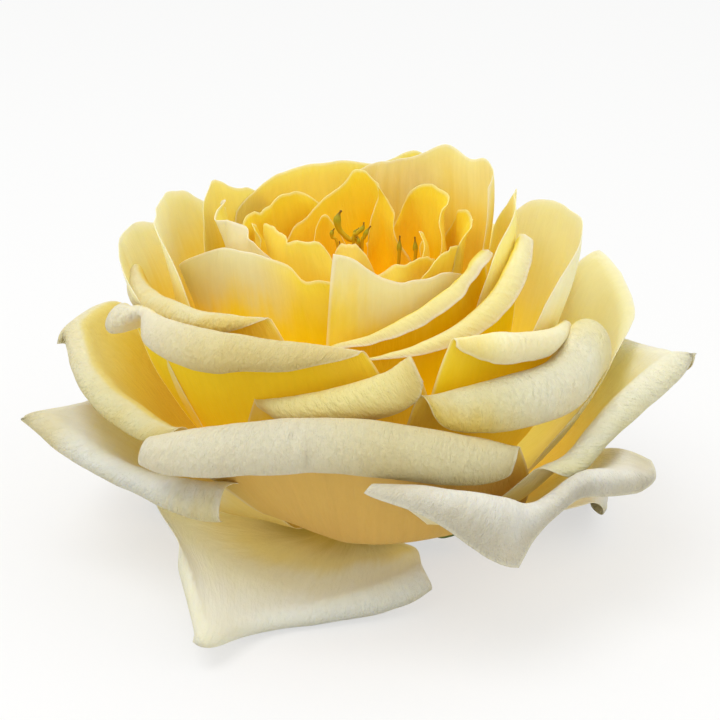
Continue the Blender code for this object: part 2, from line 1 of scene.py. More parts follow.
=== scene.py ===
"""Cut rose bloom: petals, heart, hip and studio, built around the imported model.

Every petal is a thin closed sheet laid on a family of nested bowl shapes called shells. Each takes the
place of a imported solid. All are thinner and finer than those solids, and some are a few millimetres wider.
Lengths are millimetres and become metres when a mesh is made. The front of the bloom faces -Y.
"""
import math
import bmesh
import bpy
import numpy as np
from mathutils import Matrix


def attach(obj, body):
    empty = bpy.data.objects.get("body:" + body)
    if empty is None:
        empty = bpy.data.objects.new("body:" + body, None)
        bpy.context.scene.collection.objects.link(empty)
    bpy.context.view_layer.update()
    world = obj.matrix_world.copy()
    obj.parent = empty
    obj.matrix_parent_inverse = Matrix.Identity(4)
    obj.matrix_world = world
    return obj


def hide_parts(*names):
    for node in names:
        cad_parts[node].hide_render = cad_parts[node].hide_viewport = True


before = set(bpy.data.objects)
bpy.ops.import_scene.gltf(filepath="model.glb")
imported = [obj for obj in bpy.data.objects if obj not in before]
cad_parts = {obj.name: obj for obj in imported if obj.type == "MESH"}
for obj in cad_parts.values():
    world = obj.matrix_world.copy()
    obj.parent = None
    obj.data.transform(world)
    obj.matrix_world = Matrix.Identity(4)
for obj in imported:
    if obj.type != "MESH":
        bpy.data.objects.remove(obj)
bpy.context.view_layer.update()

MM = 0.001

# ---- bloom sizes ----

# The bloom leans about a point on its axis and is then moved onto the floor.
LEAN_DEG = 4.5
LEAN_PIVOT_Z = 6.0
STAND = (2.93, -0.14, 2.61)

# Shell number, where its petals start (radius, height), and the rise angle at each arc step.
ARC_STEPS = (0.0, 15.0, 30.0, 45.0, 60.0, 80.0)
SHELLS = (
    (-0.10, 1.5, 12.8, (68, 86, 94, 98, 102, 106)),
    (0.00, 2.2, 12.4, (50, 78, 90, 93, 96, 98)),
    (0.15, 3.1, 11.7, (32, 64, 84, 89, 90, 92)),
    (0.30, 4.1, 10.9, (20, 52, 78, 85, 86, 86)),
    (0.45, 5.2, 9.9, (8, 34, 64, 76, 77, 75)),
    (0.60, 6.2, 8.9, (2, 24, 54, 66, 66, 60)),
    (0.75, 7.1, 7.9, (-2, 16, 45, 56, 54, 46)),
    (0.90, 8.0, 6.8, (-4, 10, 33, 45, 40, 28)),
    (1.00, 8.6, 6.0, (-5, 2, 15, 18, 8, -4)),
    (1.10, 9.1, 5.2, (-6, -7, -12, -18, -28, -36)),
    (1.25, 9.8, 3.9, (-18, -27, -36, -44, -52, -60)),
    (1.40, 10.4, 2.6, (-30, -40, -48, -54, -60, -66)),
)
SHELL_LOW, SHELL_HIGH, SHELL_STEP = -0.10, 1.40, 0.01
ARC_LOW, ARC_HIGH, ARC_STEP = -3.0, 84.0, 0.5

# Every petal keeps its claw on its own root shell up to LEAVE_FROM and is on its own shell by LEAVE_TO.
LEAVE_FROM, LEAVE_TO = 1.0, 16.0

# Petal thickness in mm at its middle and at its rim, and how far from the rim it has the first.
THICK_MIDDLE = 0.32
THICK_RIM = 0.10
THICK_FROM_RIM = 2.5
# The least radius at which a sheet bends round the bloom's axis, in mm.
LEAST_BEND = 2.2

# How close to a petal's sides and rim one more line of points runs, as shares of it.
SIDE_SUPPORT = 0.006
RIM_SUPPORT = 0.003

# How softly two creases join, and the step in mm with which a sheet's slope is measured.
CREASE_BLEND = 0.9
SLOPE_STEP = 0.25
# A roll counts as fully turned when it has gone this far under the sheet.
CURL_FULL = 4.0


def crease(start, end, r, turn, bow=0.0):
    """A crease from start to end (a, b); the sheet beyond it rolls under with radius r, to turn degrees."""
    radii = r if isinstance(r, tuple) else (r, r)
    return dict(start=start, end=end, radii=radii, turn=turn, bow=bow)


def petal(name, az, shell, **shape):
    """One petal: az is the way it faces, seen from above, with 270 at the front.

    Its shell changes with tilt, cup, droop and dent. Claw, width, widest and top_width set its outline, and a
    pair is for the left and the right half. Wrap is how many radii the sheet runs past its crease, and ends,
    blunt and taper thin the roll towards the sides. Rim rows are (u, mm added to the rim). Moves are
    (u, b, reach in u, reach in b, shift): each shifts the petal round (u, b) by a few mm along x, y and z.
    """
    row = dict(name=name, az=az, shell=shell, layer=shell, length=60.0, width=24.0, claw=2.2,
               widest=0.72, top_width=0.86, rounding=0.16, rounding_power=3.0, skew=0.0,
               tilt=0.0, cup=0.0, droop=0.0, dent=(0.0, 0.0, 0.3), wrap=0.0, creases=(),
               ends=(0.45, 0.45), blunt=4, taper=(), rim=((-1, 0), (1, 0)), moves=(), look={})
    row.update(shape)
    return row


def notch(low, at, high, deep=2):
    """Rim rows with one small notch, which blunts a folded corner."""
    return ((-1, 0), (low, 0), (at, -deep), (high, 0), (1, 0))


def guard_behind(name, az, shell, width, wrap, side, low, high):
    """A guard petal at the back: two creases fold it down and meet at its middle."""
    return petal(name, az, shell, cup=-0.03, length=50, width=width, wrap=wrap,
                 rim=notch(-0.2, 0, 0.2, 2.2),
                 creases=(crease((-side, low), (0, high), 3.0, 180),
                          crease((0, high), (side, low), 3.0, 180)))


def petal_behind(name, az, shell, width, wrap, height, r, turn, **shape):
    """A petal at the back of an upper ring: one level crease rolls its rim."""
    fold = crease((-20, height), (20, height), r, turn)
    return petal(name, az, shell, width=width, wrap=wrap, creases=(fold,), **shape)


GUARDS = (
    petal("guard_front", 254, 1.09, droop=0.02, tilt=0.02, cup=-0.16, length=48, width=24, claw=5.5,
          widest=(0.42, 1.3), wrap=2.2, ends=(0.7, 0.8), rim=notch(-0.75, -0.58, -0.4),
          creases=(crease((-30, 32), (-14, 42), (2.2, 1.6), 200, -1),
                   crease((-14, 42), (18, 21), (1.6, 3.0), 200, -4)),
          moves=((-0.55, 43, 0.2, 9, (0.0, -7.5, 0.4)), (1.0, 18, 0.5, 10, (-3.0, -1.0, -2.0)),
                 (0.9, 27, 0.3, 6, (0.5, 0, 0.3)), (0.0, 38, 0.8, 14, (0, 0, 0.7)),
                 (-1.0, 24, 0.5, 8, (-9, 0, 6.5)))),
    petal("guard_left", 206, 0.81, droop=0.10, tilt=0.03, cup=-0.06, length=60, width=27, widest=(0.72, 1.35),
          wrap=2.6, ends=(0.4, 0.5), rim=notch(-0.6, -0.44, -0.28),
          creases=(crease((-24, 46), (-12, 58.5), (2.5, 2.2), 200, -1),
                   crease((-12, 58.5), (26, 38), (2.2, 2.8), 210, -7.5)),
          moves=((0.45, 44, 0.5, 16, (0, 0, 4.2)), (1.0, 27, 0.45, 12, (-2, 0, 8.0)),
                 (1.0, 14, 0.7, 8, (0, 0, 3.0)))),
    petal("guard_right", 303, 0.94, droop=0.05, tilt=0.04, cup=-0.13, dent=(0.03, 0.35, 0.3), length=55,
          width=27, widest=(1.3, 0.72), wrap=2.4, ends=(0.25, 0.1), blunt=2,
          creases=(crease((-29, 50), (-5, 52), (2.4, 3.5), 135, -1),
                   crease((-5, 52), (21, 58), (3.5, 2.2), 135, -9)),
          moves=((-0.35, 50, 0.6, 16, (0, 0, 8.0)), (-1.0, 52, 0.25, 9, (-3.5, 0, -1.0)),
                 (0.4, 52, 0.35, 12, (-1.0, 0, 5.0)), (1.0, 52, 0.3, 14, (0, 0, -2.0)),
                 (-1.0, 30, 0.7, 12, (5.5, 2, 1.5)), (-0.5, 20, 1.0, 9, (3.0, 2.0, 3.0)),
                 (-0.1, 56, 0.35, 10, (-3.5, 0, 2.0)), (1.0, 58, 0.2, 7, (1.2, 0, -1.0)))),
    guard_behind("guard_back_right", 24, 1.094, 22, 1.8, 24, 32, 40),
    guard_behind("guard_back", 88, 0.98, 21, 1.8, 25, 30, 40),
    guard_behind("guard_back_left", 138, 1.035, 22, 2.0, 24, 31, 39),
)
OUTER = (
    petal("outer_front", 265, 0.59, tilt=0.03, cup=0.18, width=33, widest=(1.3, 0.55), wrap=3.3,
          ends=(0.3, 0.35),
          creases=(crease((-34, 49.5), (31, 48.5), (4.2, 4.3), 250, 3.0),),
          moves=((0.3, 20, 1.1, 13, (0, -3.5, -5.5)), (1.0, 48, 0.3, 14, (-2.3, 0, 0)),
                 (-1.0, 50, 0.3, 14, (-1.2, 0, 0))),
          look=dict(pushes=((-0.16, 55, 0.025, 2.5, 0.5), (-0.12, 58, 0.03, 2.5, -0.6),
                            (-0.08, 60, 0.02, 2.0, 0.5)))),
    petal("outer_left", 196, 0.595, layer=0.57, droop=0.115, tilt=-0.02, cup=-0.08, length=68, width=23.5,
          wrap=2.7, ends=(0.4, 0.4), rim=notch(-0.7, -0.51, -0.35),
          creases=(crease((-25, 52), (-12, 61), (3.0, 2.8), 220),
                   crease((-12, 61), (25, 46), (2.8, 2.4), 220, -4)),
          moves=((-1.0, 50, 0.5, 14, (0, 0, 2.0)), (-0.5, 64, 0.35, 12, (2.2, 0, -0.8)),
                 (1.0, 44, 0.4, 12, (-2.4, -1.2, -2.4)))),
    petal("outer_right_low", 338, 0.86, tilt=-0.06, cup=-0.08, dent=(0.06, -0.25, 0.35), length=70, width=24,
          wrap=2.5, ends=(0.5, 0.4), rim=notch(-0.05, 0.12, 0.3),
          creases=(crease((-26, 45), (3, 65.2), (3.0, 2.2), 210, -7),
                   crease((3, 65.2), (24, 48), (2.2, 3.0), 210, -2)),
          moves=((0.15, 66, 0.4, 10, (0, 0, -2.6)), (-0.75, 50, 0.3, 10, (0, 0, 1.5)))),
    petal("outer_right", 313, 0.56, tilt=0.03, cup=0.02, length=66, width=19, wrap=3.0, ends=(0.2, 0.8),
          creases=(crease((-20, 52), (21, 50), (3.8, 4.8), 235),),
          moves=((0.9, 52, 0.35, 14, (-0.4, 0, 5.5)), (-0.9, 54, 0.3, 10, (-1.2, 0, -1.5)))),
    petal("outer_right_back", 357, 0.71, tilt=-0.04, length=62, width=24, widest=0.9, wrap=0.7,
          rim=((-1, -5), (-0.5, -4), (0, -2.4), (0.5, -2.5), (1, -1)),
          creases=(crease((-24, 48), (-2, 56), 3.0, 70), crease((-2, 56), (24, 60), 3.0, 70))),
    petal_behind("outer_back_right", 38, 0.93, 24, 2.4, 50, 3.0, 200),
    petal_behind("outer_back", 96, 0.84, 26, 2.4, 52, 3.0, 200),
    petal_behind("outer_back_left", 150, 0.93, 25, 2.4, 47, 3.0, 200),
)
MIDDLE = (
    petal("middle_front", 262, 0.46, tilt=0.01, cup=0.02, length=62, width=18, wrap=3.4, ends=(0.15, 0.6),
          blunt=3, rim=((-1, 0), (0.5, 0), (1, -3)),
          creases=(crease((-15, 44), (15, 53), (2.0, 3.6), 215, -1.0),),
          moves=((-1.0, 46, 0.4, 14, (4.0, 0, 0)), (1.0, 56, 0.3, 14, (-2.0, 0, 0)))),
    petal("middle_front_left", 237, 0.43, tilt=-0.03, cup=0.035, length=62, width=25, wrap=3.2,
          taper=((-1, 0.5), (-0.88, 0.95), (-0.74, 0.3), (-0.5, 0.8), (-0.1, 1.0), (0.4, 0.7), (1, 0.08)),
          creases=(crease((-25, 58.5), (26, 50.5), (3.0, 3.9), 230, 1.0),)),
    petal("middle_left", 210, 0.405, tilt=-0.045, cup=0.01, length=65, width=23, wrap=3.0, ends=(0.1, 0.1),
          blunt=2, creases=(crease((-22, 57.5), (26, 52), (2.1, 2.4), 190),)),
    petal("middle_front_right", 307, 0.385, length=59, width=19.5, wrap=2.6, ends=(0.1, 0.15), blunt=2,
          creases=(crease((-16, 46), (20, 61), (1.4, 2.2), 140, -3),)),
    petal("middle_right", 2, 0.45, tilt=-0.02, length=63, width=23,
          rim=((-1, 0), (-0.4, 0.5), (0.1, -1.5), (1, 0)),
          moves=((-0.5, 58, 0.5, 18, (3.8, 0, -0.5)), (0.1, 60, 0.3, 14, (1.2, 0, 0.5)))),
    petal("middle_right_lip", 316, 0.525, tilt=0.01, length=59, width=16.5, wrap=3.0, ends=(0.1, 0.2),
          blunt=2, creases=(crease((-18, 58), (22, 49.5), 2.3, 200),),
          moves=((-0.2, 56, 0.7, 12, (0, 0, 1.2)),)),
    petal("middle_left_back", 174, 0.47, length=63.5, width=21, rounding=0.10),
    petal_behind("middle_back_left", 130, 0.63, 19, 1.8, 56, 2.0, 100, ends=(0.1, 0.1)),
    petal_behind("middle_back_right", 48, 0.62, 20, 1.8, 56, 2.0, 100, ends=(0.1, 0.1)),
    petal_behind("middle_back", 88, 0.50, 23, 1.8, 57, 2.0, 100),
)
INNER = (
    petal("inner_front_left", 232, 0.22, layer=0.27, tilt=-0.05, cup=0.08, length=56, width=24, rounding=0.07,
          rim=((-1, -2.5), (-0.75, -2.5), (-0.5, -2.1), (-0.25, -2.1), (0, -1.7), (0.2, -4.2), (0.32, -6.6),
               (0.5, -6.2), (1, -5)),
          moves=((-1.0, 50, 0.3, 14, (-3.5, 0, -0.3)),)),
    petal("inner_front_right", 303, 0.275, length=51, skew=-5, width=17, rounding=0.04, widest=0.5,
          rim=((-1, 3.4), (-0.75, 1.9), (-0.5, -0.8), (-0.25, -1.8), (0, -1.5), (0.3, 0), (0.6, 0.6),
               (1, 0))),
    petal("inner_front_lip", 292, 0.33, length=55, width=21, wrap=2.6, ends=(0.1, 0.2), blunt=2,
          creases=(crease((-12, 44), (24, 56), 1.2, 130),)),
    petal("inner_right", 350, 0.355, length=61.5, width=17,
          moves=((-0.6, 54, 0.7, 20, (2.0, 0, 0)),)),
    petal("inner_back", 92, 0.295, length=58.5, width=25, rounding=0.08,
          rim=((-1, 4), (-0.75, 3.8), (-0.5, 1), (0, 0), (1, 0))),
    petal("inner_back_right", 42, 0.25, length=61, width=20, rounding=0.08,
          rim=((-1, 1.5), (-0.6, 1), (-0.4, -0.5), (-0.1, 0.8), (0, 0), (0.25, -2), (0.5, -2.4), (1, -1)),
          moves=((-0.7, 58, 0.5, 20, (4, 0, 1.0)),)),
    petal("inner_back_left", 150, 0.30, length=60, width=14.5, rim=((-1, 0), (-0.3, -1.5), (0.1, 1), (1, 0))),
    petal("inner_left", 174, 0.38, length=64, width=19, rounding=0.08),
)
HEART = (
    petal("heart_left", 193, 0.19, tilt=-0.04, length=57, width=13, skew=-2, rounding=0.06,
          rim=((-1, 0), (-0.5, -1), (-0.2, -2.5), (0.1, -1), (0.5, -1.5), (1, -2.5))),
    petal("heart_front_left", 222, 0.09, tilt=0.02, length=52, width=13, skew=-2, rounding=0.10,
          rim=((-1, -1), (-0.3, -1), (0.3, -0.5), (0.6, 2.5), (0.8, 4), (1, 1)),
          look=dict(pleat=0.45, ruffle=1.0)),
    petal("heart_curl_left", 178, 0.115, length=51, width=8, rounding=0.15),
    petal("heart_arc", 112, 0.02, length=47, width=5.5, rounding=0.2, rounding_power=2.0),
    petal("heart_curl_right", 348, 0.08, length=47, width=7, rounding=0.2, rounding_power=2.0),
    petal("heart_back_left", 143, 0.155, tilt=-0.01, length=56, width=14, rounding=0.10,
          rim=((-1, -1), (-0.4, -3.5), (0, -5.5), (0.5, -4.5), (1, -8))),
    petal("heart_back", 104, 0.105, tilt=-0.02, length=54, width=12, rounding=0.05,
          rim=((-1, 1.5), (-0.6, 1), (-0.2, -2.5), (0.3, -6), (1, -9)), look=dict(ruffle=0.8)),
    petal("heart_lance", 52, 0.04, length=51.5, width=6.0, rounding=0.22, rounding_power=1.1, widest=0.6,
          top_width=0.6),
    petal("heart_hood", 27, 0.15, cup=-0.01, length=53.5, width=12, rounding_power=2.2),
    petal("heart_right", 2, 0.22, tilt=-0.01, length=52, width=11, rounding=0.15),
    petal("heart_right_front", 335, 0.175, length=49, width=11, skew=-2),
    petal("heart_front", 300, 0.13, length=46, width=12.5, skew=2, rounding=0.08),
    petal("heart_tip", 276, 0.03, length=48, width=6.5, rounding=0.20, rounding_power=2.0),
)
# Cells across and up each petal.
GRIDS = ((GUARDS, (72, 84)), (OUTER, (72, 84)), (MIDDLE, (60, 72)), (INNER, (52, 60)), (HEART, (36, 48)))
for group, cells in GRIDS:
    for row in group:
        row["cells"] = cells
for row in HEART:
    row["claw"] = 1.5
PETALS = GUARDS + OUTER + MIDDLE + INNER + HEART

# How much further out a petal's claw sits than one it overlaps, by the angle between them.
STACKING = ((60, 0.068), (85, 0.05), (115, 0.032))


def stack_roots(petals):
    """Work outward from the heart: each claw goes just outside the claws it overlaps."""
    placed = []
    for p in sorted(petals, key=lambda row: row["layer"]):
        root = SHELL_LOW
        for other in placed:
            apart = abs((p["az"] - other["az"] + 180) % 360 - 180)
            for limit, room in STACKING:
                if apart < limit:
                    root = max(root, other["root"] + room)
                    break
        p["root"] = root
        placed.append(p)


stack_roots(PETALS)
for number, row in enumerate(PETALS):
    row["seed"] = 11 + 7 * number


# ---- shells ----

def smooth_table(x, xs, ys):
    """Smooth curve through the rows ys given at xs, read at x."""
    xs = np.asarray(xs, float)
    ys = np.asarray(ys, float)
    slope = np.gradient(ys, xs, axis=0)
    i = np.clip(np.searchsorted(xs, x) - 1, 0, len(xs) - 2)
    h = xs[i + 1] - xs[i]
    t = np.clip((x - xs[i]) / h, 0, 1)
    flat = t.shape + (1,) * (ys.ndim - 1)
    t = t.reshape(flat)
    h = h.reshape(flat)
    return ((2 * t**3 - 3 * t**2 + 1) * ys[i] + (t**3 - 2 * t**2 + t) * h * slope[i]
            + (3 * t**2 - 2 * t**3) * ys[i + 1] + (t**3 - t**2) * h * slope[i + 1])


def shell_profiles():
    """Radius and height of every shell at every arc length."""
    shells = np.arange(SHELL_LOW, SHELL_HIGH + SHELL_STEP / 2, SHELL_STEP)
    arcs = np.arange(ARC_LOW, ARC_HIGH + ARC_STEP / 2, ARC_STEP)
    numbers = [s[0] for s in SHELLS]
    angles = smooth_table(shells, numbers, [s[3] for s in SHELLS])
    angles = np.radians(smooth_table(arcs, ARC_STEPS, angles.T).T)
    start = smooth_table(shells, numbers, [(s[1], s[2]) for s in SHELLS])
    mid = (angles[:, 1:] + angles[:, :-1]) / 2
    zero = np.zeros((len(shells), 1))
    radius = np.hstack([zero, np.cumsum(np.cos(mid), 1) * ARC_STEP])
    height = np.hstack([zero, np.cumsum(np.sin(mid), 1) * ARC_STEP])
    k = int(round(-ARC_LOW / ARC_STEP))
    radius = radius - radius[:, k:k + 1] + start[:, :1]
    height = height - height[:, k:k + 1] + start[:, 1:]
    return radius, height


RADIUS, HEIGHT = shell_profiles()


def on_shell(shell, arc):
    """Radius and height on a shell at an arc length."""
    x = np.clip((shell - SHELL_LOW) / SHELL_STEP, 0, RADIUS.shape[0] - 1.001)
    y = np.clip((arc - ARC_LOW) / ARC_STEP, 0, RADIUS.shape[1] - 1.001)
    i = x.astype(int)
    j = y.astype(int)
    fx = x - i
    fy = y - j
    weights = ((1 - fx) * (1 - fy), fx * (1 - fy), (1 - fx) * fy, fx * fy)
    corners = ((i, j), (i + 1, j), (i, j + 1), (i + 1, j + 1))
    return [sum(w * table[c] for w, c in zip(weights, corners)) for table in (RADIUS, HEIGHT)]


def unit(vectors):
    """Vectors made one long."""
    return vectors / np.maximum(np.linalg.norm(vectors, axis=-1, keepdims=True), 1e-12)


def smoothstep(low, high, x):
    """Zero at low, one at high and smooth between."""
    t = np.clip((x - low) / (high - low), 0, 1)
    return t * t * (3 - 2 * t)


def field(x, y, seed):
    """Smooth random field between about -1 and 1, with features about one unit across."""
    table = np.random.default_rng(seed).uniform(-1, 1, (64, 64))
    i = np.floor(x).astype(int)
    j = np.floor(y).astype(int)
    fx = x - i
    fy = y - j
    fx = fx * fx * fx * (fx * (fx * 6 - 15) + 10)
    fy = fy * fy * fy * (fy * (fy * 6 - 15) + 10)
    total = np.zeros_like(x)
    for di, wx in ((0, 1 - fx), (1, fx)):
        for dj, wy in ((0, 1 - fy), (1, fy)):
            total = total + wx * wy * table[(i + di) % 64, (j + dj) % 64]
    return total


# ---- petal sheets: a runs across a petal and b up it, in mm; u is -1 to 1 across it ----

def half_width(p, u, v):
    """Half the petal's width at height share v, on the side that u is on."""
    left, right = p["widest"] if isinstance(p["widest"], tuple) else (p["widest"], p["widest"])
    widest = np.where(u < 0, left, right)
    rise = np.sin(np.pi / 2 * np.clip(v / widest, 0, 1))**1.15
    wide = p["claw"] + (p["width"] - p["claw"]) * rise
    late = np.clip((v - widest) / np.maximum(1 - widest, 0.01), 0, 1)
    return wide * (1 - (1 - p["top_width"]) * late**2)


def crest_height(c, a):
    """Height of a crease's crest line at a."""
    s = np.clip((a - c["start"][0]) / (c["end"][0] - c["start"][0]), -0.3, 1.3)
    bow = c["bow"] * np.clip(1 - 4 * (s - 0.5)**2, -0.5, 1)
    return c["start"][1] + (c["end"][1] - c["start"][1]) * s + bow


def roll_radius(p, c, a):
    """Radius of a crease's roll at a: it changes along the crease and tapers at the petal's sides."""
    s = np.clip((a - c["start"][0]) / (c["end"][0] - c["start"][0]), 0, 1)
    u = np.clip(a / p["width"], -1, 1)
    radius = c["radii"][0] + (c["radii"][1] - c["radii"][0]) * s
    if p["taper"]:
        return radius * smooth_table(u, [row[0] for row in p["taper"]], [row[1] for row in p["taper"]])
    end = np.where(u < 0, p["ends"][0], p["ends"][1])
    return radius * (1 - (1 - end) * np.abs(u)**p["blunt"])


def top_edge(p, u):
    """Length of the sheet at width share u."""
    if not p["creases"]:
        return p["length"] * (1 - p["rounding"] * np.abs(u)**p["rounding_power"]) + p["skew"] * u
    a = u * p["width"] * 0.95
    lines = [crest_height(c, a) + p["wrap"] * roll_radius(p, c, a) for c in p["creases"]]
    return np.min(lines, axis=0)


def rim_change(p, u):
    """Smooth change of the rim's height, from its rows of (width share, mm)."""
    us = [row[0] for row in p["rim"]]
    highs = [row[1] for row in p["rim"]]
    return smooth_table(np.clip(u, us[0], us[-1]), us, highs)


def rolled(p, a, b):
    """How far the creases move a point of the sheet: along a, along b, and outward below it."""
    if not p["creases"]:
        return np.zeros_like(a), np.zeros_like(a), np.zeros_like(a)
    rows = []
    for c in p["creases"]:
        (a1, b1), (a2, b2) = c["start"], c["end"]
        length = math.hypot(a2 - a1, b2 - b1)
        na = (b1 - b2) / length
        nb = (a2 - a1) / length
        x = a - (a1 + a2) / 2
        y = b - (b1 + b2) / 2
        along = (x * nb - y * na) / length
        radius = roll_radius(p, c, a)
        bow = c["bow"] * np.clip(1 - 4 * along**2, -1, 1)
        rows.append((x * na + y * nb - bow + radius, radius, na, nb, math.radians(c["turn"])))
    top = np.max([r[0] for r in rows], axis=0)
    weights = [np.exp(CREASE_BLEND * (r[0] - top)) for r in rows]
    total = sum(weights)
    past = np.maximum(top + np.log(total) / CREASE_BLEND, 0)
    radius, na, nb, most = [sum(w * r[k] for w, r in zip(weights, rows)) / total for k in (1, 2, 3, 4)]
    size = np.maximum(np.hypot(na, nb), 1e-6)
    angle = np.minimum(past / radius, most)
    over = past - angle * radius
    inplane = radius * np.sin(angle) + over * np.cos(most) - past
    under = radius * (1 - np.cos(angle)) + over * np.sin(most)
    return inplane * na / size, inplane * nb / size, under


def sheet_point(p, a, b):
    """The unrolled sheet in space."""
    u = a / p["width"]
    v = b / p["length"]
    deep, where, spread = p["dent"]
    shell = (p["shell"] + p["tilt"] * u + p["cup"] * u * u + p["droop"] * smoothstep(0.45, 1.0, v)
             - deep * np.exp(-((u - where) / spread)**2) * smoothstep(0.2, 0.7, v))
    leave = smoothstep(LEAVE_FROM, LEAVE_TO, b)
    radius, height = on_shell(p["root"] + (shell - p["root"]) * leave, b)
    wrap = np.maximum(on_shell(p["root"] + (p["shell"] - p["root"]) * leave, b)[0], LEAST_BEND)
    az = math.radians(p["az"]) + a / wrap
    return np.stack([radius * np.cos(az), radius * np.sin(az), height], -1)


def lean(points):
    """Lean the bloom and stand it on the floor."""
    x = points[..., 0]
    y = points[..., 1]
    z = points[..., 2] - LEAN_PIVOT_Z
    c = math.cos(math.radians(LEAN_DEG))
    s = math.sin(math.radians(LEAN_DEG))
    return np.stack([x * c - z * s + STAND[0], y + STAND[1], x * s + z * c + LEAN_PIVOT_Z + STAND[2]], -1)


# ---- fine petal surface ----

# Heights in mm of the marks on each ring's petals; wave is the length of the rim's ruffles.
LOOKS = {
    "guard": dict(pleat=0.05, crumple=0.3, ruffle=0.1, ragged=0.15, wave=6),
    "outer": dict(pleat=0.05, crumple=0.25, ruffle=0.1, ragged=0.15, wave=6),
    "middle": dict(pleat=0.05, crumple=0.25, ruffle=0.25, ragged=0.3, wave=6),
    "inner": dict(pleat=0.06, crumple=0.3, ruffle=0.6, ragged=0.5, wave=6),
    "heart": dict(pleat=0.3, crumple=1.0, ruffle=1.6, ragged=0.7, wave=4),
}


def ring_of(p):
    """Name of the ring that a petal grows in."""
    return p["name"].split("_")[0]


def look_of(p):
    """How crumpled a petal is: its ring's look with its own changes. Pushes are small dents and bumps."""
    look = dict(LOOKS[ring_of(p)], pushes=())
    look.update(p["look"])
    return look


def relief(p, look, u, b, rim):
    """Height added to a petal along its normal: pleats from claw to rim, soft crumples and a ruffled rim."""
    seed = p["seed"]
    grow = smoothstep(12, 34, b)
    fan = u * p["width"]
    pleat = field(fan / 2.4, b / 30, seed) + 0.4 * field(fan / 1.1, b / 20, seed + 1)
    crumple = field(fan / 8, b / 14, seed + 2) + 0.3 * field(fan / 3.5, b / 6, seed + 3)
    wave = look["wave"]
    ruffle = field(fan / wave, b / (1.5 * wave), seed + 4) * np.exp(-rim / (0.6 * wave))
    height = look["pleat"] * pleat + look["crumple"] * crumple + look["ruffle"] * ruffle
    for pu, pb, su, sb, high in look["pushes"]:
        height = height + high * np.exp(-((u - pu) / su)**2 - ((b - pb) / sb)**2)
    return height * grow


def petal_sheet(p, u, v):
    """Middle surface of a petal, its outward normal, and where each point is on the petal."""
    look = look_of(p)
    seed = p["seed"]
    ragged = look["ragged"]
    a = u * half_width(p, u, v)
    nicks = field(u * 3, u * 0, seed + 5) + 0.3 * field(u * 9, u * 0, seed + 6)
    edge = top_edge(p, u) + rim_change(p, u) + ragged * nicks
    a = a * (1 + ragged * 0.02 * np.abs(u) * field(v * 5, v * 0 + np.sign(u) * 3, seed + 7))
    b = v * edge
    rim = np.minimum(edge - b, np.maximum(half_width(p, u, v) - np.abs(a), 0))
    da, db, under = rolled(p, a, b)
    curl = np.clip(under / CURL_FULL, 0, 1)
    a2 = a + da
    b2 = b + db
    e = SLOPE_STEP
    across = sheet_point(p, a2 + e, b2) - sheet_point(p, a2 - e, b2)
    upward = sheet_point(p, a2, b2 + e) - sheet_point(p, a2, b2 - e)
    points = sheet_point(p, a2, b2) + unit(np.cross(across, upward)) * under[..., None]
    points = points + grid_normals(points) * relief(p, look, u, b, rim)[..., None]
    points = lean(points)
    for mu, mb, su, sb, by in p["moves"]:
        share = np.exp(-((u - mu) / su)**2 - ((b - mb) / sb)**2) * smoothstep(10, 25, b)
        points = points + share[..., None] * np.array(by)
    return points, b, rim, curl


def grid_normals(points):
    """Normals of a grid of points whose rows run up the petal and columns across it."""
    across = np.gradient(points, axis=1)
    upward = np.gradient(points, axis=0)
    return unit(np.cross(across, upward))


def steps_with_support(count, low, high, close):
    """Even steps from low to high with one more step close to each end that is a free rim."""
    steps = np.linspace(low, high, count + 1)
    extra = [high - close]
    if low < 0:
        extra.append(low + close)
    return np.sort(np.concatenate([steps, extra]))


def place_object(name, data):
    """New object with this data, in the scene."""
    ob = bpy.data.objects.new(name, data)
    bpy.context.scene.collection.objects.link(ob)
    return ob


def new_object(name, mesh, mat):
    """Smooth object with this mesh and material."""
    mesh.materials.append(mat)
    mesh.polygons.foreach_set("use_smooth", np.ones(len(mesh.polygons), bool))
    return place_object(name, mesh)


def stand_in(name, mesh, mat):
    """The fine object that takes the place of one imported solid."""
    ob = new_object(name + "_fine", mesh, mat)
    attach(ob, "root")
    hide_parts(name)


def two_sheets(shape):
    """Quads of two grids of points joined round their border, the second grid behind the first."""
    count = shape[0] * shape[1]
    index = np.arange(count).reshape(shape)
    corner = (index[:-1, :-1], index[:-1, 1:], index[1:, 1:], index[1:, :-1])
    outside = np.stack(corner, -1).reshape(-1, 4)
    inside = np.stack(corner[::-1], -1).reshape(-1, 4) + count
    loop = np.concatenate([index[0, :], index[1:, -1], index[-1, -2::-1], index[-2:0:-1, 0]])
    after = np.roll(loop, -1)
    return np.concatenate([outside, inside, np.stack([after, loop, loop + count, after + count], -1)])


def mesh_from(name, verts, quads):
    """Mesh of quads, from points in mm."""
    mesh = bpy.data.meshes.new(name)
    mesh.vertices.add(len(verts))
    mesh.vertices.foreach_set("co", (verts * MM).astype(np.float32).ravel())
    mesh.loops.add(quads.size)
    mesh.loops.foreach_set("vertex_index", quads.astype(np.int32).ravel())
    mesh.polygons.add(len(quads))
    mesh.polygons.foreach_set("loop_start", np.arange(0, quads.size, 4, dtype=np.int32))
    mesh.update(calc_edges=True)
    mesh.validate()
    return mesh


def vector_attribute(mesh, name, rows):
    """Keep one vector for each vertex, for the materials to read."""
    layer = mesh.attributes.new(name, "FLOAT_VECTOR", "POINT")
    layer.data.foreach_set("vector", rows.astype(np.float32).ravel())


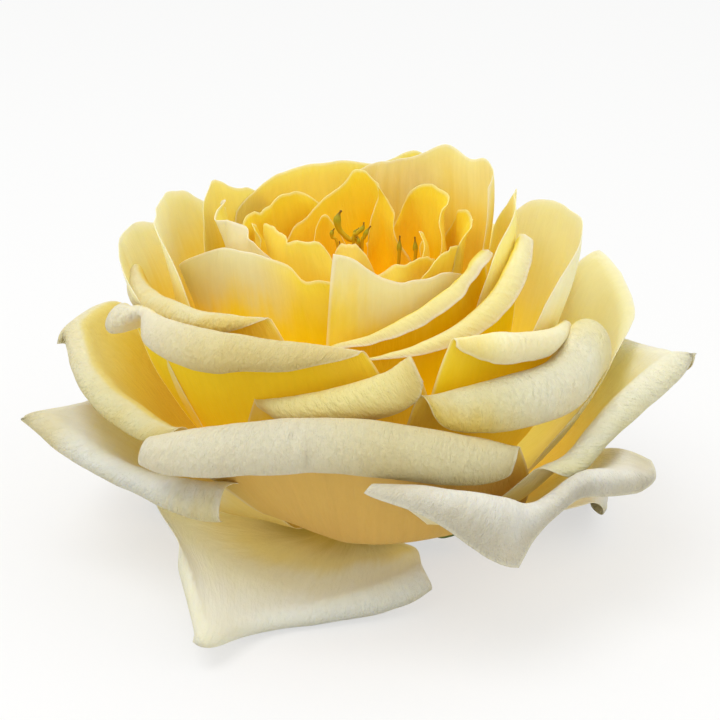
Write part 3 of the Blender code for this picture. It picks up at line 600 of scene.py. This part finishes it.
def add_petal(p, mat):
    """Closed thin petal: an upper and an under sheet joined round the rim."""
    cols = steps_with_support(p["cells"][0], -1.0, 1.0, SIDE_SUPPORT)
    rows = steps_with_support(p["cells"][1], 0.0, 1.0, RIM_SUPPORT)
    u, v = np.meshgrid(cols, rows)
    points, b, rim, curl = petal_sheet(p, u, v)
    normal = grid_normals(points)
    thick = THICK_RIM + (THICK_MIDDLE - THICK_RIM) * smoothstep(0, THICK_FROM_RIM, rim)
    half = (thick / 2)[..., None] * normal
    verts = np.concatenate([(points + half).reshape(-1, 3), (points - half).reshape(-1, 3)])
    mesh = mesh_from(p["name"] + "_fine", verts, two_sheets(u.shape))
    under_side = np.repeat([1.0, 0.0], u.size)
    seed = np.full(2 * u.size, float(p["seed"]))
    rise, rim, fan, b, curl, u = [np.tile(x.ravel(), 2) for x in (v, rim, u * p["width"], b, curl, u)]
    vector_attribute(mesh, "place", np.stack([rise, rim, under_side], -1))
    vector_attribute(mesh, "vein", np.stack([fan, b, seed], -1))
    vector_attribute(mesh, "roll", np.stack([curl, u, u * 0], -1))
    stand_in(p["name"], mesh, mat)


# ---- materials ----

def srgb(r, g, b):
    """Colour as it looks on a screen, 0 to 255, as a linear colour."""
    row = []
    for x in (r, g, b):
        x = x / 255
        row.append(x / 12.92 if x <= 0.04045 else ((x + 0.055) / 1.055)**2.4)
    return (*row, 1.0)


class Tree:
    """Small helper to add and join shader nodes. An input is a value or another node's socket."""

    def __init__(self, name):
        self.mat = bpy.data.materials.new(name)
        self.mat.use_nodes = True
        self.nodes = self.mat.node_tree.nodes
        self.links = self.mat.node_tree.links
        self.shader = self.nodes["Principled BSDF"]

    def add(self, kind, inputs=(), **settings):
        """New node of this kind, with its inputs by name or number."""
        node = self.nodes.new(kind)
        for key, value in settings.items():
            setattr(node, key, value)
        for key, value in dict(inputs).items():
            self.put(node.inputs[key], value)
        return node

    def put(self, socket, value):
        """Join a socket to another node's, or give it a value."""
        if isinstance(value, bpy.types.NodeSocket):
            self.links.new(value, socket)
        else:
            socket.default_value = value

    def surface(self, name, value):
        """One input of the surface itself."""
        self.put(self.shader.inputs[name], value)

    def soften(self, weight, radius, scale, shine):
        """Light under the skin, and how much the skin shines."""
        self.surface("Subsurface Weight", weight)
        self.surface("Subsurface Radius", radius)
        self.surface("Subsurface Scale", scale)
        self.surface("Specular IOR Level", shine)

    def bump(self, height, strength, distance):
        """Fine relief from a height."""
        node = self.add("ShaderNodeBump", {"Strength": strength, "Distance": distance, "Height": height})
        self.surface("Normal", node.outputs[0])

    def kept(self, name):
        """The three numbers that the mesh keeps under this name."""
        node = self.add("ShaderNodeAttribute", attribute_name=name)
        return self.add("ShaderNodeSeparateXYZ", {0: node.outputs["Vector"]}).outputs

    def math(self, operation, a, b=0.0):
        return self.add("ShaderNodeMath", {0: a, 1: b}, operation=operation).outputs[0]

    def step(self, x, low, high, out_low=0.0, out_high=1.0):
        """Smooth rise from out_low to out_high while x goes from low to high."""
        inputs = {"Value": x, "From Min": low, "From Max": high, "To Min": out_low, "To Max": out_high}
        node = self.add("ShaderNodeMapRange", inputs, interpolation_type="SMOOTHSTEP")
        return node.outputs["Result"]

    def mix(self, amount, a, b, blend="MIX"):
        node = self.add("ShaderNodeMix", data_type="RGBA", blend_type=blend)
        self.put(node.inputs["Factor"], amount)
        self.put(node.inputs[6], a)
        self.put(node.inputs[7], b)
        return node.outputs[2]

    def ramp(self, x, stops):
        """Colour read at x from (place, colour) stops."""
        node = self.add("ShaderNodeValToRGB", {"Fac": x})
        node.color_ramp.interpolation = "EASE"
        elements = node.color_ramp.elements
        while len(elements) < len(stops):
            elements.new(0.5)
        for element, (at, colour) in zip(elements, stops):
            element.position = at
            element.color = srgb(*colour)
        return node.outputs["Color"]

    def noise(self, vector, scale, stretch=(1.0, 1.0, 1.0), detail=2.0, rough=0.5):
        move = self.add("ShaderNodeMapping", {"Vector": vector, "Scale": stretch})
        node = self.add("ShaderNodeTexNoise", {"Vector": move.outputs[0], "Scale": scale, "Detail": detail,
                                               "Roughness": rough})
        return node.outputs["Fac"]


# How far apart the marks of two petals lie in the noise, and where the pale edge fades, in mm from the rim.
PETALS_APART = 3.1
RIM_EDGE = (0.1, 0.7)


def petal_material(name, skin):
    """Petal skin: colours up the petal from claw to rim, on its upper (face) and under side (back)."""
    t = Tree(name)
    rise, rim, side = t.kept("place")
    curl, across = t.kept("roll")[:2]
    vein = t.add("ShaderNodeAttribute", attribute_name="vein").outputs["Vector"]

    def marks(scale, along, detail=3.0, rough=0.6):
        return t.noise(vein, scale, (1.0, along, PETALS_APART), detail, rough)

    blotch = marks(0.09, 0.7, rough=0.5)
    streak = marks(0.7, 0.06, rough=0.55)
    fine = marks(2.4, 0.12)
    grain = marks(1.1, 0.3)
    # The colour follows the height on the petal, a little uneven, and less far up on the flat part.
    shift = t.math("MULTIPLY", t.math("SUBTRACT", blotch, 0.5), 0.22)
    shift = t.math("ADD", shift, t.math("MULTIPLY", t.math("SUBTRACT", streak, 0.5), 0.08))
    moved = t.math("ADD", rise, shift)
    on_roll = t.step(curl, 0.0, 0.35)
    flat = t.math("SUBTRACT", 1.0, on_roll)
    moved = t.math("SUBTRACT", moved, t.math("MULTIPLY", flat, skin["hold"]))
    colour = t.mix(side, t.ramp(moved, skin["face"]), t.ramp(moved, skin["back"]))
    for low, high, amount, tint in skin["tints"]:
        share = t.step(across, low, high, 0.0, amount)
        if skin["hold"] > 0:
            share = t.math("MULTIPLY", share, on_roll)
        colour = t.mix(share, colour, srgb(*tint))
    tone = t.step(streak, 0.3, 0.7, 1.0 - skin["streaks"], 1.0)
    tone = t.math("MULTIPLY", tone, t.step(grain, 0.3, 0.7, 0.985, 1.01))
    tone = t.add("ShaderNodeCombineColor", {0: tone, 1: tone, 2: tone}).outputs[0]
    colour = t.mix(1.0, colour, tone, "MULTIPLY")
    pale = t.step(rim, *RIM_EDGE, skin["rim_paleness"], 0.0)
    colour = t.mix(pale, colour, srgb(*skin["rim"]))
    t.surface("Base Color", colour)
    # Veins all over, and wrinkles that grow towards the roll.
    crepe = marks(1.4, 0.4, 4.0)
    height = t.math("ADD", t.math("MULTIPLY", streak, 0.3), t.math("MULTIPLY", fine, 0.15))
    wrinkle = t.math("MULTIPLY", t.math("MULTIPLY", crepe, t.math("ADD", curl, 0.15)), skin["wrinkles"])
    height = t.math("ADD", height, wrinkle)
    t.bump(height, 0.8, 0.0007)
    t.surface("Roughness", t.step(fine, 0.2, 0.8, 0.52, 0.68))
    # Painted light: the petal gives off its own colour, most at the claw, to lift the shade deep in the
    # bloom.
    painted_glow = t.step(rise, 0.35, 0.9, skin["painted_glow"], 0.12 * skin["painted_glow"])
    t.surface("Emission Color", colour)
    t.surface("Emission Strength", painted_glow)
    t.soften(skin["soft"], (1.0, 0.8, 0.45), 0.0015, 0.08)
    t.mat.cycles.emission_sampling = "NONE"
    return t.mat


# Where a skin's four or five colours lie from claw to rim. With five, the last one, darker and yellower than
# the crest's, is painted shade on the roll's lower side towards the rim.
STOPS = {4: (0.0, 0.58, 0.76, 0.95), 5: (0.0, 0.45, 0.68, 0.84, 1.0)}


def skin(face, back, stops=(), rim=(246, 238, 200), streaks=0.02, wrinkles=1.0, tints=(),
         painted_glow=0.35, soft=0.7, rim_paleness=0.35, hold=0.0):
    """One petal's colours from claw to rim, at the stops, and its marks.

    Face and back are the upper and the under side. Streaks and wrinkles are how strong those marks are. Glow
    is
    painted light: the petal gives off that much of its own colour, to lift the shade deep in the bloom. Soft
    is how much light shows through under the skin. Tints are (from, to, amount, colour) across the petal.
    Hold keeps the flat part that much nearer to the claw's colours than the roll, and the tints to the roll.
    """
    stops = stops or STOPS[len(face)]
    return dict(face=tuple(zip(stops, face)), back=tuple(zip(stops, back)), rim=rim, streaks=streaks,
                wrinkles=wrinkles, tints=tints, painted_glow=painted_glow, soft=soft, rim_paleness=rim_paleness, hold=hold)


GUARD_BACK = ((226, 186, 80), (238, 210, 126), (228, 216, 172), (222, 213, 182), (222, 212, 184))
OUTER_BACK = ((236, 190, 60), (242, 208, 98), (236, 208, 130), (226, 210, 160), (222, 208, 156))
# In every five-colour skin the last colour is painted shade under the roll, darker than the pale crest before
# it.
GROUP_SKINS = {
    "guard": skin(
        ((226, 184, 66), (238, 212, 128), (226, 216, 178), (220, 216, 200), (206, 198, 166)),
        GUARD_BACK, wrinkles=3.0, painted_glow=0.05, soft=0.4),
    "outer": skin(
        ((236, 200, 44), (248, 216, 108), (238, 218, 150), (230, 220, 176), (220, 206, 150)),
        OUTER_BACK, wrinkles=2.5, painted_glow=0.12, soft=0.4),
    "middle": skin(
        ((240, 205, 24), (240, 211, 44), (249, 214, 92), (242, 224, 150)),
        ((240, 201, 24), (240, 209, 50), (246, 210, 102), (234, 218, 154)),
        painted_glow=0.25),
    "inner": skin(
        ((243, 202, 12), (243, 208, 20), (243, 212, 58), (248, 222, 120)),
        ((243, 202, 14), (243, 208, 30), (246, 214, 82), (241, 222, 140)),
        painted_glow=0.3),
    "heart": skin(
        ((246, 184, 0), (246, 190, 4), (246, 196, 20), (246, 206, 56)),
        ((246, 186, 2), (246, 194, 10), (246, 202, 32), (244, 212, 88)),
        rim=(246, 230, 140), painted_glow=0.37, rim_paleness=0.8),
}
# Here too the last of five colours is painted shade under the roll.
SKINS = {
    # guard_front's darker olive colours near the claw are painted shade, where outer_front's belly hangs over
    # it.
    "guard_front": skin(
        ((186, 164, 60), (232, 218, 150), (236, 232, 200), (234, 233, 216), (220, 214, 184)),
        ((200, 170, 80), (232, 210, 140), (224, 214, 176), (220, 212, 184), (220, 212, 184)),
        (0.0, 0.38, 0.56, 0.8, 1.0), wrinkles=2.5, painted_glow=0.18, soft=0.4),
    "guard_left": skin(
        ((222, 192, 70), (224, 212, 146), (222, 219, 188), (226, 224, 208), (214, 200, 152)),
        GUARD_BACK, wrinkles=3.0, painted_glow=0.05, soft=0.4),
    "guard_right": skin(
        ((230, 190, 70), (242, 224, 150), (238, 234, 204), (226, 223, 210), (200, 193, 172)),
        GUARD_BACK, wrinkles=3.0, painted_glow=0.05, soft=0.4),
    # outer_front's browner under-side colours, seen on the belly below the roll, are painted shade under the
    # roll.
    "outer_front": skin(
        ((236, 194, 40), (244, 208, 94), (234, 212, 148), (218, 206, 162), (198, 180, 128)),
        ((194, 152, 82), (214, 176, 94), (226, 184, 88), (220, 196, 134), (222, 205, 156)),
        wrinkles=2.2, painted_glow=0.02, soft=0.4, hold=0.12,
        tints=((0.35, -0.2, 0.45, (236, 231, 214)),)),
    "outer_left": skin(
        ((220, 190, 30), (226, 202, 84), (229, 212, 132), (228, 219, 172), (224, 204, 132)),
        OUTER_BACK, wrinkles=3.0, painted_glow=0.13, soft=0.3, hold=0.2,
        tints=((0.2, -0.4, 0.4, (240, 234, 210)),)),
    "outer_right_low": skin(
        ((236, 208, 60), (248, 220, 116), (243, 229, 166), (238, 234, 206), (234, 224, 174)),
        OUTER_BACK, wrinkles=3.2, painted_glow=0.16, soft=0.4, hold=0.05,
        tints=((-0.4, 0.2, 0.4, (242, 238, 222)),)),
    "outer_right": skin(
        ((236, 210, 50), (252, 220, 98), (242, 224, 140), (228, 218, 168), (226, 194, 98)),
        ((236, 194, 50), (236, 202, 56), (238, 200, 78), (222, 204, 136), (222, 206, 156)),
        wrinkles=2.8, painted_glow=0.15, soft=0.4, hold=0.15,
        tints=((-0.6, 0.1, 0.5, (240, 236, 216)), (0.6, 0.9, 0.5, (240, 222, 140)))),
    "outer_right_back": skin(
        ((220, 212, 110), (230, 224, 136), (240, 230, 158), (242, 235, 186), (240, 231, 180)),
        ((240, 212, 110), (244, 224, 144), (242, 226, 156), (238, 228, 172), (238, 228, 172)),
        painted_glow=0.22, soft=0.5),
    "middle_front": skin(
        ((240, 203, 28), (240, 211, 60), (243, 214, 112), (238, 220, 150), (226, 200, 126)),
        ((240, 199, 34), (240, 205, 60), (240, 206, 98), (230, 208, 144), (230, 208, 144)),
        (0.0, 0.55, 0.72, 0.86, 1.0), wrinkles=2.0, painted_glow=0.24, soft=0.5, hold=0.2),
    "middle_front_left": skin(
        ((240, 203, 28), (240, 207, 56), (236, 209, 108), (228, 213, 160), (212, 192, 130)),
        ((240, 199, 24), (240, 205, 42), (240, 203, 60), (224, 204, 130), (222, 202, 146)),
        (0.0, 0.55, 0.72, 0.84, 1.0), wrinkles=2.5, painted_glow=0.26, soft=0.5, hold=0.2,
        tints=((0.1, -0.7, 0.6, (238, 232, 212)),)),
    "middle_left": skin(
        ((240, 203, 24), (240, 211, 58), (244, 212, 100), (234, 220, 168), (226, 198, 118)),
        ((240, 199, 20), (240, 206, 46), (244, 206, 88), (232, 214, 152), (230, 214, 158)),
        (0.0, 0.56, 0.74, 0.88, 1.0), wrinkles=2.5, painted_glow=0.27, soft=0.5, hold=0.2,
        tints=((0.1, -0.6, 0.45, (240, 232, 196)),)),
    "middle_left_back": skin(
        ((240, 199, 20), (240, 207, 56), (245, 218, 118), (243, 234, 184)),
        ((240, 197, 30), (243, 204, 76), (240, 218, 130), (236, 226, 176)),
        painted_glow=0.25),
    "middle_front_right": skin(
        ((240, 203, 8), (240, 205, 20), (236, 208, 70), (230, 218, 150)),
        ((240, 203, 6), (240, 203, 14), (243, 202, 50), (240, 210, 96)),
        painted_glow=0.34, hold=0.2, rim_paleness=0.5, tints=((0.2, 0.9, 0.7, (234, 226, 176)),)),
    "middle_right": skin(
        ((236, 216, 46), (238, 222, 100), (232, 220, 150), (230, 224, 176)),
        ((234, 212, 52), (236, 216, 96), (234, 222, 150), (230, 226, 182)),
        painted_glow=0.26),
    "middle_right_lip": skin(
        ((240, 203, 22), (240, 209, 50), (246, 214, 100), (240, 228, 166), (226, 204, 128)),
        ((240, 201, 20), (240, 203, 30), (240, 205, 66), (234, 214, 142), (232, 214, 146)),
        (0.0, 0.58, 0.76, 0.88, 1.0), painted_glow=0.38, soft=0.5, hold=0.2,
        tints=((-0.7, -0.2, 0.45, (244, 238, 210)),)),
    "inner_front_left": skin(
        ((243, 202, 12), (243, 208, 20), (243, 212, 58), (248, 221, 120)),
        ((243, 202, 0), (243, 208, 2), (243, 212, 44), (220, 214, 166)),
        (0.0, 0.58, 0.75, 0.92), tints=((-0.15, 0.35, 0.85, (243, 208, 8)),), painted_glow=0.45),
    "inner_front_right": skin(
        ((243, 202, 12), (243, 208, 20), (243, 212, 58), (248, 221, 120)),
        ((243, 202, 0), (243, 208, 8), (240, 208, 72), (225, 214, 156)),
        (0.0, 0.6, 0.78, 0.95), painted_glow=0.42),
    "inner_front_lip": skin(
        ((243, 200, 4), (243, 202, 10), (238, 206, 64), (232, 218, 146)),
        ((243, 196, 0), (243, 198, 4), (240, 200, 48), (238, 208, 92)),
        painted_glow=0.36, hold=0.2, rim_paleness=0.5, tints=((0.4, 1.0, 0.6, (236, 226, 170)),)),
    "inner_left": skin(
        ((243, 202, 16), (243, 210, 52), (246, 220, 110), (242, 232, 172)),
        ((243, 202, 20), (243, 210, 52), (248, 220, 118), (240, 230, 172)),
        painted_glow=0.29),
    "inner_right": skin(
        ((243, 202, 12), (243, 210, 28), (246, 218, 84), (246, 227, 138)),
        ((243, 202, 14), (243, 210, 36), (246, 218, 90), (244, 226, 138)),
        painted_glow=0.35),
    "inner_back_right": skin(
        ((243, 202, 14), (243, 210, 40), (248, 213, 84), (236, 216, 142)),
        ((243, 204, 16), (243, 212, 44), (246, 214, 96), (238, 220, 146)),
        streaks=0.08, painted_glow=0.33),
    "inner_back": skin(
        ((243, 194, 12), (243, 200, 20), (240, 204, 60), (236, 206, 96)),
        ((243, 194, 14), (243, 200, 30), (240, 206, 70), (234, 210, 112)),
        painted_glow=0.32),
    "heart_tip": skin(
        ((232, 176, 2), (232, 184, 8), (232, 188, 30), (232, 194, 60)),
        ((232, 176, 2), (232, 184, 8), (232, 190, 36), (230, 200, 90)),
        rim=(246, 230, 140), painted_glow=0.2, rim_paleness=0.8),
    "heart_left": skin(
        ((246, 192, 4), (246, 200, 12), (246, 208, 40), (246, 219, 96)),
        ((246, 198, 8), (246, 206, 30), (240, 208, 100), (230, 219, 172)),
        rim=(246, 238, 196), painted_glow=0.29, rim_paleness=0.6),
}


def skin_of(p):
    """A petal's own skin, or its ring's."""
    return SKINS.get(p["name"], GROUP_SKINS[ring_of(p)])


def plain_material(name, colour, dark, rough, scale):
    """Matte green or brown plant skin with a little mottling and grain."""
    t = Tree(name)
    where = t.add("ShaderNodeTexCoord").outputs["Object"]
    patch = t.noise(where, scale, detail=4.0)
    grain = t.noise(where, scale * 6, detail=2.0)
    colour = t.mix(t.step(patch, 0.35, 0.65), srgb(*dark), srgb(*colour))
    t.surface("Base Color", colour)
    t.surface("Roughness", t.step(grain, 0.3, 0.7, rough - 0.06, rough + 0.1))
    t.bump(grain, 0.3, 0.0002)
    t.soften(0.1, (0.8, 1.0, 0.4), 0.001, 0.35)
    return t.mat


# ---- camera and studio ----

# The camera's lens, its angle above level, its distance from the bloom and the point it looks at, in mm.
LENS_MM = 113.2
VIEW_ELEV_DEG = 22.0
VIEW_DISTANCE = 400.0
VIEW_TARGET = (1.83, -0.14, 35.11)

# Metres: half the floor's width, and how far it lies under the bloom.
FLOOR_HALF = 4.0
FLOOR_GAP = 0.0002
# How much of the seen floor is plain white, and the strength of the even light.
FLOOR_WHITE = 0.6
SKY_LIGHT = 0.88


def add_camera():
    """The camera looks along +Y and down on the bloom."""
    data = bpy.data.cameras.new("camera")
    data.lens = LENS_MM
    data.sensor_width = 36.0
    data.clip_start = 0.01
    data.clip_end = 20.0
    cam = place_object("camera", data)
    tilt = math.radians(VIEW_ELEV_DEG)
    x, y, z = VIEW_TARGET
    back = VIEW_DISTANCE * math.cos(tilt)
    up = VIEW_DISTANCE * math.sin(tilt)
    cam.location = (x * MM, (y - back) * MM, (z + up) * MM)
    cam.rotation_euler = (math.pi / 2 - tilt, 0.0, 0.0)
    bpy.context.scene.camera = cam


def add_lamp(name, where, target, size, watts):
    """A round area lamp aimed at target."""
    data = bpy.data.lights.new(name, "AREA")
    data.shape = "DISK"
    data.size = size
    data.energy = watts
    lamp = place_object(name, data)
    lamp.location = where
    aim = [b - a for a, b in zip(where, target)]
    flat = math.hypot(aim[0], aim[1])
    lamp.rotation_euler = (math.atan2(flat, -aim[2]), 0.0, math.atan2(aim[1], aim[0]) - math.pi / 2)


def backdrop_share(t):
    """One where a ray is the camera's own or a mirror-like one."""
    path = t.add("ShaderNodeLightPath")
    seen = t.math("MAXIMUM", path.outputs["Is Camera Ray"], path.outputs["Is Glossy Ray"])
    return t.math("MAXIMUM", seen, path.outputs["Is Transmission Ray"])


def add_floor():
    """A wide pale floor: shown almost white, and still shaded under the bloom."""
    t = Tree("floor_paper")
    t.surface("Base Color", (0.82, 0.82, 0.81, 1.0))
    t.surface("Roughness", 0.9)
    t.surface("Specular IOR Level", 0.0)
    light = t.add("ShaderNodeEmission", {"Color": (1.0, 1.0, 1.0, 1.0), "Strength": 1.0})
    share = t.math("MULTIPLY", backdrop_share(t), FLOOR_WHITE)
    mix = t.add("ShaderNodeMixShader", {0: share, 1: t.shader.outputs[0], 2: light.outputs[0]})
    t.links.new(mix.outputs[0], t.nodes["Material Output"].inputs["Surface"])
    mesh = bpy.data.meshes.new("floor")
    corners = [(x * FLOOR_HALF, y * FLOOR_HALF, 0) for x, y in ((-1, -1), (1, -1), (1, 1), (-1, 1))]
    mesh.from_pydata(corners, [], [(0, 1, 2, 3)])
    mesh.materials.append(t.mat)
    floor = place_object("floor", mesh)
    floor.location = (0.0, 0.0, -FLOOR_GAP)


def add_world():
    """Even white light from all round."""
    world = bpy.data.worlds.new("studio")
    bpy.context.scene.world = world
    world.use_nodes = True
    sky = world.node_tree.nodes["Background"]
    sky.inputs["Color"].default_value = (1.0, 1.0, 1.0, 1.0)
    sky.inputs["Strength"].default_value = SKY_LIGHT


def add_studio():
    """Camera, floor and soft light."""
    scene = bpy.context.scene
    scene.view_settings.view_transform = "Standard"
    add_camera()
    add_floor()
    add_world()
    middle = (0.0, 0.0, 0.03)
    add_lamp("lamp_above", (-0.25, -0.30, 0.85), middle, 0.6, 3.3)
    add_lamp("lamp_right", (0.60, -0.25, 0.50), middle, 0.5, 0.5)


# ---- assembly ----

def build_petals():
    """All petals, each with its own skin."""
    for p in PETALS:
        add_petal(p, petal_material("skin_" + p["name"], skin_of(p)))


# Outline of the hip and the cut stem end: (radius, height), before the bloom leans.
HIP_TOP = ((0.05, 12.3), (0.7, 12.1), (2.6, 10.5), (4.6, 8.3), (6.2, 6.3), (9.2, 2.6))
HIP_SIDE = ((9.7, 1.7), (9.3, 0.6), (8.2, -0.5), (6.6, -1.3), (4.8, -1.8), (3.5, -2.05))
STEM_END = ((3.28, -2.5), (3.24, -3.3), (3.1, -3.42), (2.3, -3.46), (1.2, -3.4), (0.05, -3.38))
HIP_SIDES = 72


def ring_quads(rows, sides):
    """Quads between rows of points that each run once round."""
    index = np.arange(rows * sides).reshape(rows, sides)
    after = np.roll(index, -1, axis=1)
    return np.stack([index[:-1], index[1:], after[1:], after[:-1]], -1).reshape(-1, 4)


def closed_tube(path, radii, sides):
    """Points and quads of a tube round a path, with one radius for each of the path's points."""
    path = np.asarray(path, float)
    along = np.gradient(path, axis=0)
    along = along / np.linalg.norm(along, axis=1, keepdims=True)
    side = np.cross(along, (0.0, 1.0, 0.0))
    side = side / np.maximum(np.linalg.norm(side, axis=1, keepdims=True), 1e-9)
    front = np.cross(side, along)
    turn = np.arange(sides) * 2 * math.pi / sides
    ring = np.cos(turn)[None, :, None] * side[:, None, :] + np.sin(turn)[None, :, None] * front[:, None, :]
    verts = path[:, None, :] + ring * np.asarray(radii, float)[:, None, None]
    return verts.reshape(-1, 3), ring_quads(len(path), sides)


def add_hip(mat):
    """Hip and cut stem end, turned about the axis with a few soft ribs."""
    outline = np.array(HIP_TOP + HIP_SIDE + STEM_END)
    steps = np.linspace(0, len(outline) - 1, 6 * len(outline))
    outline = np.stack([np.interp(steps, np.arange(len(outline)), outline[:, k]) for k in (0, 1)], -1)
    turn = np.arange(HIP_SIDES) * 2 * math.pi / HIP_SIDES
    radius = outline[:, :1] * (1 + 0.012 * np.cos(5 * turn)[None, :] + 0.006 * np.cos(13 * turn)[None, :])
    height = np.broadcast_to(outline[:, 1:], radius.shape)
    verts = lean(np.stack([radius * np.cos(turn), radius * np.sin(turn), height], -1))
    verts[..., 2] = np.maximum(verts[..., 2], 0.0)
    end = np.arange(HIP_SIDES)
    caps = (end, (radius.size - HIP_SIDES + end)[::-1])
    quads = ring_quads(len(outline), HIP_SIDES)
    mesh = closed_mesh("hip_and_cut_stem_fine", verts.reshape(-1, 3), quads, caps)
    stand_in("hip_and_cut_stem", mesh, mat)


def closed_mesh(name, verts, quads, caps):
    """Mesh of quads with flat caps of many corners, faces turned outward."""
    faces = [tuple(q) for q in quads.tolist()] + [tuple(int(k) for k in cap) for cap in caps]
    mesh = bpy.data.meshes.new(name)
    mesh.from_pydata((verts * MM).tolist(), [], faces)
    bm = bmesh.new()
    bm.from_mesh(mesh)
    bmesh.ops.recalc_face_normals(bm, faces=bm.faces[:])
    bm.to_mesh(mesh)
    bm.free()
    return mesh


SEPAL_AZ = (272, 200, 128, 56, 344)
SEPAL_START = (10.1, 0.7)
SEPAL_LENGTH = 6.7
SEPAL_WIDTH = 2.7
SEPAL_DIP = (-22.0, -10.0)
SEPAL_THICK = 0.5


def add_sepal(number, az, mat):
    """Pointed sepal with a raised middle rib, folded down under the guards."""
    u, s = np.meshgrid(np.linspace(-1, 1, 17), np.linspace(0, 1, 25))
    a = u * SEPAL_WIDTH * (1 - 0.25 * s**1.5 - 0.72 * s**6) * (1 - 0.1 * np.sin(9 * s)**2 * np.abs(u))
    dip = np.radians(SEPAL_DIP[0] + (SEPAL_DIP[1] - SEPAL_DIP[0]) * s)
    fold = 0.25 * (1 - np.abs(u))**2 - 0.25 * u * u
    radius = SEPAL_START[0] + SEPAL_LENGTH * s * np.cos(dip) + fold * np.sin(-dip)
    height = SEPAL_START[1] + SEPAL_LENGTH * s * np.sin(dip) + fold * np.cos(dip)
    turn = math.radians(az) + a / radius
    middle = lean(np.stack([radius * np.cos(turn), radius * np.sin(turn), height], -1))
    half = grid_normals(middle) * (SEPAL_THICK / 2) * (1 - 0.7 * np.abs(u)**4)[..., None]
    verts = np.concatenate([(middle + half).reshape(-1, 3), (middle - half).reshape(-1, 3)])
    verts[:, 2] = np.maximum(verts[:, 2], 0.0)
    mesh = closed_mesh("sepal_%d_fine" % number, verts, two_sheets(u.shape), ())
    stand_in("sepal_%d" % number, mesh, mat)


# Stalks of the heart: points from the base up to the hooked tip (x, y, z), and the widest radius.
STALKS = (
    (((1.0, 1.5, 40.0), (1.6, 1.2, 56.0), (0.0, 1.0, 57.2), (-1.6, 1.0, 58.8), (-2.1, 1.0, 60.4),
      (-1.9, 1.0, 61.6), (-1.4, 1.0, 62.5)), 0.55),
    (((-1.0, 1.5, 40.0), (-2.0, 1.0, 55.5), (-3.0, 1.0, 57.6), (-3.0, 1.0, 58.6), (-2.6, 1.0, 59.2)), 0.3),
    (((0.5, 1.0, 40.0), (0.7, 0.8, 56.6), (1.2, 0.8, 58.2), (2.3, 0.8, 59.4), (2.5, 0.8, 60.4)), 0.34),
    (((2.0, 1.0, 40.0), (2.2, 0.6, 56.0), (2.5, 0.6, 57.6), (3.0, 0.6, 58.8), (3.7, 0.6, 59.8)), 0.34),
    (((0.8, 2.5, 40.0), (0.8, 2.0, 56.6), (1.0, 2.0, 58.2), (1.7, 2.0, 59.0)), 0.26),
    (((1.5, -0.4, 40.0), (1.2, -0.4, 55.0), (1.6, -0.6, 57.4), (1.2, -0.6, 58.2)), 0.26),
    (((7.6, 3.0, 36.0), (8.6, 3.2, 52.0), (8.7, 3.4, 54.8), (8.8, 3.6, 57.0)), 0.36),
    (((9.6, 3.0, 36.0), (11.4, 3.2, 52.0), (11.5, 3.4, 54.8), (11.4, 3.6, 56.8)), 0.36),
    (((4.6, 2.0, 36.0), (5.4, 3.0, 46.0), (5.6, 3.2, 50.0)), 0.3),
    (((-1.0, 4.0, 36.0), (-1.4, 4.6, 52.0), (-1.8, 4.8, 55.6)), 0.3),
)
# The pad that they grow from: where it lies, and its (height, radius) from under to upper side.
STALK_PAD_Z = 15.5
STALK_PAD = ((-0.6, 0.9), (-0.3, 0.95), (0.2, 0.8))


def smooth_path(points, count):
    """Points evenly along a smooth curve through the given ones."""
    at = np.linspace(0, 1, len(points))
    return smooth_table(np.linspace(0, 1, count), at, np.array(points))


def add_stalks(mat):
    """Styles and stamens as one piece: fine hooked stalks grown from a small pad deep in the heart."""
    rows = 40
    sides = 14
    s = np.linspace(0, 1, rows)
    swell = (0.8 + 0.45 * np.exp(-((s - 0.74) / 0.12)**2)) * (1 - 0.62 * smoothstep(0.78, 0.96, s))
    tubes = []
    for number, (points, thick) in enumerate(STALKS):
        start = (0.5 * math.cos(number), 0.5 * math.sin(number), STALK_PAD_Z)
        radii = thick * swell * (1 + 0.5 * np.exp(-((s - 0.985) / 0.02)**2))
        tubes.append((smooth_path((start,) + points, rows), radii, sides, s))
    pad = [(0, 0, STALK_PAD_Z + z) for z, radius in STALK_PAD]
    tubes.append((pad, [radius for z, radius in STALK_PAD], 24, np.zeros(len(STALK_PAD))))
    verts = []
    quads = []
    caps = []
    share = []
    count = 0
    for path, radii, sides, rise in tubes:
        tube, faces = closed_tube(path, radii, sides)
        verts.append(tube)
        quads.append(faces + count)
        caps.append(count + np.arange(sides))
        caps.append(count + len(tube) - sides + np.arange(sides)[::-1])
        share.append(np.repeat(rise, sides))
        count += len(tube)
    mesh = closed_mesh("styles_and_stamens_fine", np.concatenate(verts), np.concatenate(quads), caps)
    share = np.concatenate(share)
    vector_attribute(mesh, "place", np.stack([share, share * 0, share * 0], -1))
    stand_in("styles_and_stamens", mesh, mat)


def stalk_material():
    """Olive green stalks, golden low down and brown at the hooked tips."""
    t = Tree("skin_olive")
    rise = t.kept("place")[0]
    colour = t.ramp(rise, ((0.0, (214, 160, 10)), (0.62, (196, 168, 20)), (0.8, (170, 160, 28)),
                           (0.97, (120, 92, 30))))
    t.surface("Base Color", colour)
    t.surface("Roughness", 0.5)
    t.soften(0.3, (1.0, 0.8, 0.3), 0.001, 0.2)
    return t.mat


def build_green_parts():
    """Hip, sepals and the stalks in the heart."""
    green = plain_material("skin_green", (118, 140, 70), (88, 112, 54), 0.55, 300.0)
    add_hip(green)
    for number, az in enumerate(SEPAL_AZ, start=1):
        add_sepal(number, az, green)
    add_stalks(stalk_material())


add_studio()
build_petals()
build_green_parts()
